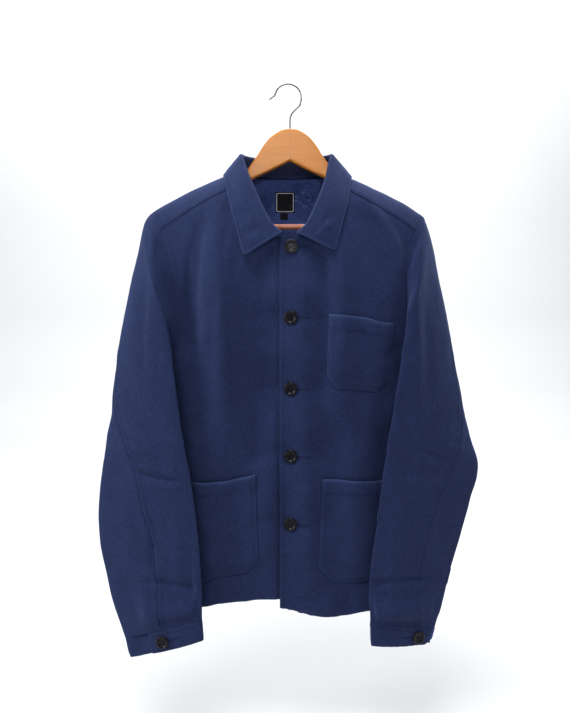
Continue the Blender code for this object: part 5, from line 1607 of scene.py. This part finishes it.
def hangerArm(side):
    sign = signOf[side]
    ridge = [(x, float(ridgeHeight(np.array(sign * x * mm)) - hanger["underRidge"]) / mm)
             for x in hanger["onRidge"]]
    corners = np.array(hanger["top"] + ridge + hanger["end"] + hanger["lower"], float)
    outline = catmull(corners, np.linspace(0, len(corners) - 1, 6 * (len(corners) - 1) + 1)) * mm
    outline[[0, -1], 0] = hanger["joint"] / 2
    shape = bmesh.new()
    half = hanger["thickness"] / 2
    rings = [[shape.verts.new((sign * x, y, z)) for x, z in outline] for y in (-half, half)]
    shape.faces.new(rings[0])
    shape.faces.new(rings[1][::-1])
    count = len(outline)
    for k in range(count):
        n = (k + 1) % count
        shape.faces.new((rings[0][k], rings[0][n], rings[1][n], rings[1][k]))
    bmesh.ops.recalc_face_normals(shape, faces=shape.faces)
    long = []  # the long edges, but none across the flat end at the joint
    for edge in shape.edges:
        near, far = sorted(abs(vert.co.x) for vert in edge.verts)
        level = abs(edge.verts[0].co.y - edge.verts[1].co.y) < 1e-6
        sharp = level and edge.calc_face_angle(0) > math.radians(50)
        if near < 0.2 * mm < far or near > 0.2 * mm and sharp:
            long.append(edge)
    bmesh.ops.bevel(shape, geom=long, offset=hanger["rounding"], segments=6, profile=0.5,
                    affect="EDGES", clamp_overlap=True)
    piece = linkPiece("hangerArm" + side.capitalize(), plainMesh(shape, "hangerArm", 35), "wood")
    even = piece.modifiers.new("even", "WEIGHTED_NORMAL")
    even.keep_sharp = True
    settle(piece, "amber_wood", "hanger_arm_" + side)


def hangerBar():
    shape = bmesh.new()
    half, radius, z = hanger["barHalf"], hanger["barRadius"], hanger["barZ"]
    rings = []
    for x in np.linspace(-half, half, 90):
        sag = -0.5 * mm * (1 - (x / half) ** 2)
        rings.append([shape.verts.new((x, radius * math.cos(a), z + sag + radius * math.sin(a)))
                      for a in np.linspace(0, 2 * math.pi, 33)[:-1]])
    skinRings(shape, rings)
    bar = linkPiece("trouserBar", plainMesh(shape, "trouserBar", 50), "salmon")
    settle(bar, "salmon_bar", "trouser_bar")


def wireHook():
    route = [(x * mm, 0, z * mm) for x, z in hanger["stem"]]
    (x, z), bend = hanger["hookCentre"], hanger["hookRadius"]
    route += [(x + bend * math.cos(a), 0, z + bend * math.sin(a))
              for a in np.radians(np.linspace(*hanger["hookArc"], 9))]
    route += [(x * mm, 0, z * mm) for x, z in hanger["tip"]]
    fine = atShares(np.array(route), np.linspace(0, 1, 150))
    tangents, radius = unit(np.gradient(fine, axis=0)), hanger["wireRadius"]
    rows = [(*pair, radius) for pair in zip(fine, tangents)]
    for a in np.radians(np.linspace(0, 80, 6)[1:]):  # a round tip
        rows.append((fine[-1] + tangents[-1] * radius * math.sin(a), tangents[-1],
                     radius * math.cos(a)))
    shape, rings, across = bmesh.new(), [], np.array([0, 1, 0])
    for point, tangent, size in rows:
        side = np.array([-tangent[2], 0, tangent[0]])
        rings.append([shape.verts.new(point + size * (math.cos(a) * side + math.sin(a) * across))
                      for a in np.linspace(0, 2 * math.pi, 21)[:-1]])
    skinRings(shape, rings)
    settle(linkPiece("wireHook", plainMesh(shape, "wireHook"), "wire"), "hook_steel", "hook")


for side in signOf:
    hangerArm(side)
hangerBar()
wireHook()
print("hanger ready")


# stitches and worked buttonholes, laid along lines by one Geometry Nodes tree

stitch = {
    "pitch": 3.1 * mm, "length": 2.5 * mm, "radius": 0.27 * mm, "sink": 0.06 * mm, "seed": 5,
    "unevenness": 0.12, "holeLift": 0.05 * mm, "slitShadowRadius": 0.34 * mm,
    "holePitch": 0.62 * mm, "holeBar": 1.9 * mm, "holeRadius": 0.30 * mm, "holeSpread": 1.05 * mm,
    "holeFrom": 2.5 * mm, "holeTo": 28.5 * mm, "cuffHole": (0.005, 0.098),
}


def threadTree():
    tree, start, end = newGroup("threadOnLines", [
        ("Lines", "Geometry"), ("Pitch", "Float", stitch["pitch"]),
        ("Length", "Float", stitch["length"]), ("Radius", "Float", stitch["radius"]),
        ("Unevenness", "Float", stitch["unevenness"]), ("Seed", "Int", 1),
        ("Crosswise", "Bool", False), ("Thread", "Material")],
        [("Stitches", "Geometry")], "GeometryNodeTree")
    curve = addNode(tree, "GeometryNodeMeshToCurve")
    even = addNode(tree, "GeometryNodeResampleCurve", mode="LENGTH")
    tangent = addNode(tree, "GeometryNodeInputTangent")
    along, across = (addNode(tree, "FunctionNodeAlignRotationToVector", axis=axis) for axis in "ZX")
    pick = addNode(tree, "GeometryNodeSwitch", input_type="ROTATION")
    ball = addNode(tree, "GeometryNodeMeshUVSphere")
    feed(tree, [ball.inputs[key] for key in ("Segments", "Rings", "Radius")], (6, 5, 1.0))
    size = addNode(tree, "ShaderNodeCombineXYZ")
    radius, slack = start.outputs["Radius"], start.outputs["Unevenness"]
    feed(tree, size.inputs, (radius, radius,
                             mathNode(tree, "MULTIPLY", start.outputs["Length"], 0.5)))
    shaped = addNode(tree, "GeometryNodeTransform")
    uneven = addNode(tree, "FunctionNodeRandomValue", data_type="FLOAT")
    feed(tree, uneven.inputs[2:4], (mathNode(tree, "SUBTRACT", 1.0, slack),
                                    mathNode(tree, "ADD", 1.0, slack)))
    place = addNode(tree, "GeometryNodeInstanceOnPoints")
    realize = addNode(tree, "GeometryNodeRealizeInstances")
    smooth = addNode(tree, "GeometryNodeSetShadeSmooth")
    finish = addNode(tree, "GeometryNodeSetMaterial")
    for source, output, target, socket in (
            (start, "Lines", curve, "Mesh"), (curve, "Curve", even, "Curve"),
            (start, "Pitch", even, "Length"), (tangent, "Tangent", along, "Vector"),
            (tangent, "Tangent", across, "Vector"), (start, "Crosswise", pick, "Switch"),
            (along, "Rotation", pick, "False"), (across, "Rotation", pick, "True"),
            (ball, "Mesh", shaped, "Geometry"), (size, "Vector", shaped, "Scale"),
            (start, "Seed", uneven, "Seed"), (even, "Curve", place, "Points"),
            (shaped, "Geometry", place, "Instance"), (pick, "Output", place, "Rotation"),
            (uneven, 1, place, "Scale"), (place, "Instances", realize, "Geometry"),
            (realize, "Geometry", smooth, "Geometry"), (smooth, "Geometry", finish, "Geometry"),
            (start, "Thread", finish, "Material"), (finish, "Geometry", end, "Stitches")):
        tree.links.new(source.outputs[output], target.inputs[socket])
    return tree


groups["thread"] = threadTree()


def threadPiece(name, lines, **values):
    mesh = bpy.data.meshes.new(name + "Lines")
    points, edges = [], []
    for line in lines:
        first = len(points)
        points += [tuple(point) for point in line]
        edges += [(first + i, first + i + 1) for i in range(len(line) - 1)]
    mesh.from_pydata(points, edges, [])
    base = linkPiece(name + "Lines", mesh)
    modifier = base.modifiers.new("threads", "NODES")
    modifier.node_group = groups["thread"]
    ids = {item.name: item.identifier for item in groups["thread"].interface.items_tree}
    for key, value in values.items():
        modifier[ids[key]] = value
    settle(linkPiece(name, evaluatedMesh(base, name)), "navy_twill")


def allStitches():
    threadPiece("seamStitches", [line + normal * stitch["sink"] for line, normal in stitchRuns],
                Thread=materials["navyThread"], Seed=stitch["seed"])
    holes, slitShadows = [], []
    low, high = (button["x"] + stitch[key] for key in ("holeFrom", "holeTo"))
    for z in button["z"]:
        for shift in (-1, 1):
            level = z + shift * stitch["holeSpread"]
            line, normal = seatLine("frontPanelLeft", [(low, level), (high, level - 0.4 * mm)],
                                    0.5 * mm)
            holes.append(line + normal * stitch["holeLift"])
        slitShadows.append(seatLine("frontPanelLeft", [(low, z), (high + 0.6 * mm, z - 0.4 * mm)],
                              0.5 * mm)[0])
    for side in signOf:
        ats = cuff["button"][side] + np.linspace(*stitch["cuffHole"], 40)
        for shift in (-1, 0, 1):
            share = cuff["buttonShare"] + shift * stitch["holeSpread"] / cuff["height"]
            place, outward = cuffPlace(side, ats, share)
            line = place + outward * (cuff["proud"] + (0.05 if shift else 0.1) * mm)
            (holes if shift else slitShadows).append(line)
    threadPiece("buttonholeThread", holes, Thread=materials["navyThread"], Seed=9,
                Pitch=stitch["holePitch"], Length=stitch["holeBar"], Radius=stitch["holeRadius"],
                Crosswise=True)
    # dark tubes along the slits: painted shadow in the cut
    shape = bmesh.new()
    for line in slitShadows:
        tube(shape, line, stitch["slitShadowRadius"], 6)
    settle(linkPiece("buttonholeSlitShadows", plainMesh(shape, "buttonholeSlitShadows"), "slitShadowDark"),
           "navy_twill")


allStitches()
print("stitches ready")

# camera, lights and surroundings

view = {
    "focalPixels": 640.0, "frame": (570, 713), "tiltDown": math.radians(5.929),
    "place": (-0.0075, -1.0, -0.307),
    "lights": {  # place, aim, size, power, colour and, if narrow, spread in degrees
        "skyPanel": ((-0.6, -1.65, 3.3), (0, 0, -0.40), (1.8, 1.35), 128, (1.0, 0.985, 0.97)),
        "leftPanel": ((-2.3, -0.65, 0.3), (0, 0, -0.45), (0.6, 1.0), 38, (0.97, 0.98, 1.0)),
        "rightPanel": ((2.0, -0.8, 0.3), (0.25, 0, -0.5), (0.7, 1.2), 9, (0.97, 0.98, 1.0)),
        "rearPanel": ((1.7, 0.85, 0.9), (0, 0, -0.40), (0.7, 0.9), 26, (1.0, 0.99, 0.98)),
        "neckPanel": ((-0.1, -1.7, 0.30), (0, 0.02, -0.15), (0.35, 0.35), 0.10,
                      (1.0, 0.99, 0.97), 10),
        "wallWash": ((0.0, 0.7, 1.9), (0.0, 2.4, -0.5), (3.2, 0.8), 130, (1.0, 1.0, 1.0))},
    "sweep": [  # y, and z above the floor
        (-5.0, 0.0), (1.5, 0.0), (1.9, 0.05), (2.2, 0.25), (2.35, 0.6), (2.4, 1.1), (2.4, 6.0)],
    "sweepHalf": 6.0, "floorGap": 0.16,
    "backdrop": {"Base Color": (0.50, 0.51, 0.52, 1), "Roughness": 0.9},
    "world": {"Color": (0.80, 0.84, 0.90, 1), "Strength": 0.12},
}


def setCamera():
    data = bpy.data.cameras.new("camera")
    data.sensor_width = 36
    data.lens = view["focalPixels"] / max(view["frame"]) * data.sensor_width
    camera = addToScene("camera", data)
    camera.location = view["place"]
    camera.rotation_euler = (math.pi / 2 - view["tiltDown"], 0, 0)
    bpy.context.scene.camera = camera


def addLight(name, place, aim, size, power, colour, spreadAngle=180):
    data = bpy.data.lights.new(name, "AREA")
    data.shape, data.energy, data.color = "RECTANGLE", power, colour
    data.size, data.size_y = size
    data.spread = math.radians(spreadAngle)
    lamp = addToScene(name, data)
    lamp.location = place
    lamp.rotation_euler = (Vector(aim) - Vector(place)).to_track_quat("-Z", "Y").to_euler()


def setStudio():
    floorZ, half = cadBox[0].z - view["floorGap"], view["sweepHalf"]
    points = [(x, y, floorZ + z) for y, z in view["sweep"] for x in (-half, half)]
    mesh = bpy.data.meshes.new("studioSweep")
    mesh.from_pydata(points, [], [(k, k + 1, k + 3, k + 2) for k in range(0, len(points) - 2, 2)])
    mesh.shade_smooth()
    mesh.materials.append(startMaterial("paleStudio", view["backdrop"])[0])
    addToScene("studioSweep", mesh)
    world = bpy.data.worlds.new("paleRoom")
    bpy.context.scene.world = world
    world.use_nodes = True
    background = world.node_tree.nodes["Background"]
    for key, value in view["world"].items():
        background.inputs[key].default_value = value
    for name, row in view["lights"].items():
        addLight(name, *row)


setCamera()
setStudio()
bpy.context.scene.view_settings.view_transform = "Standard"
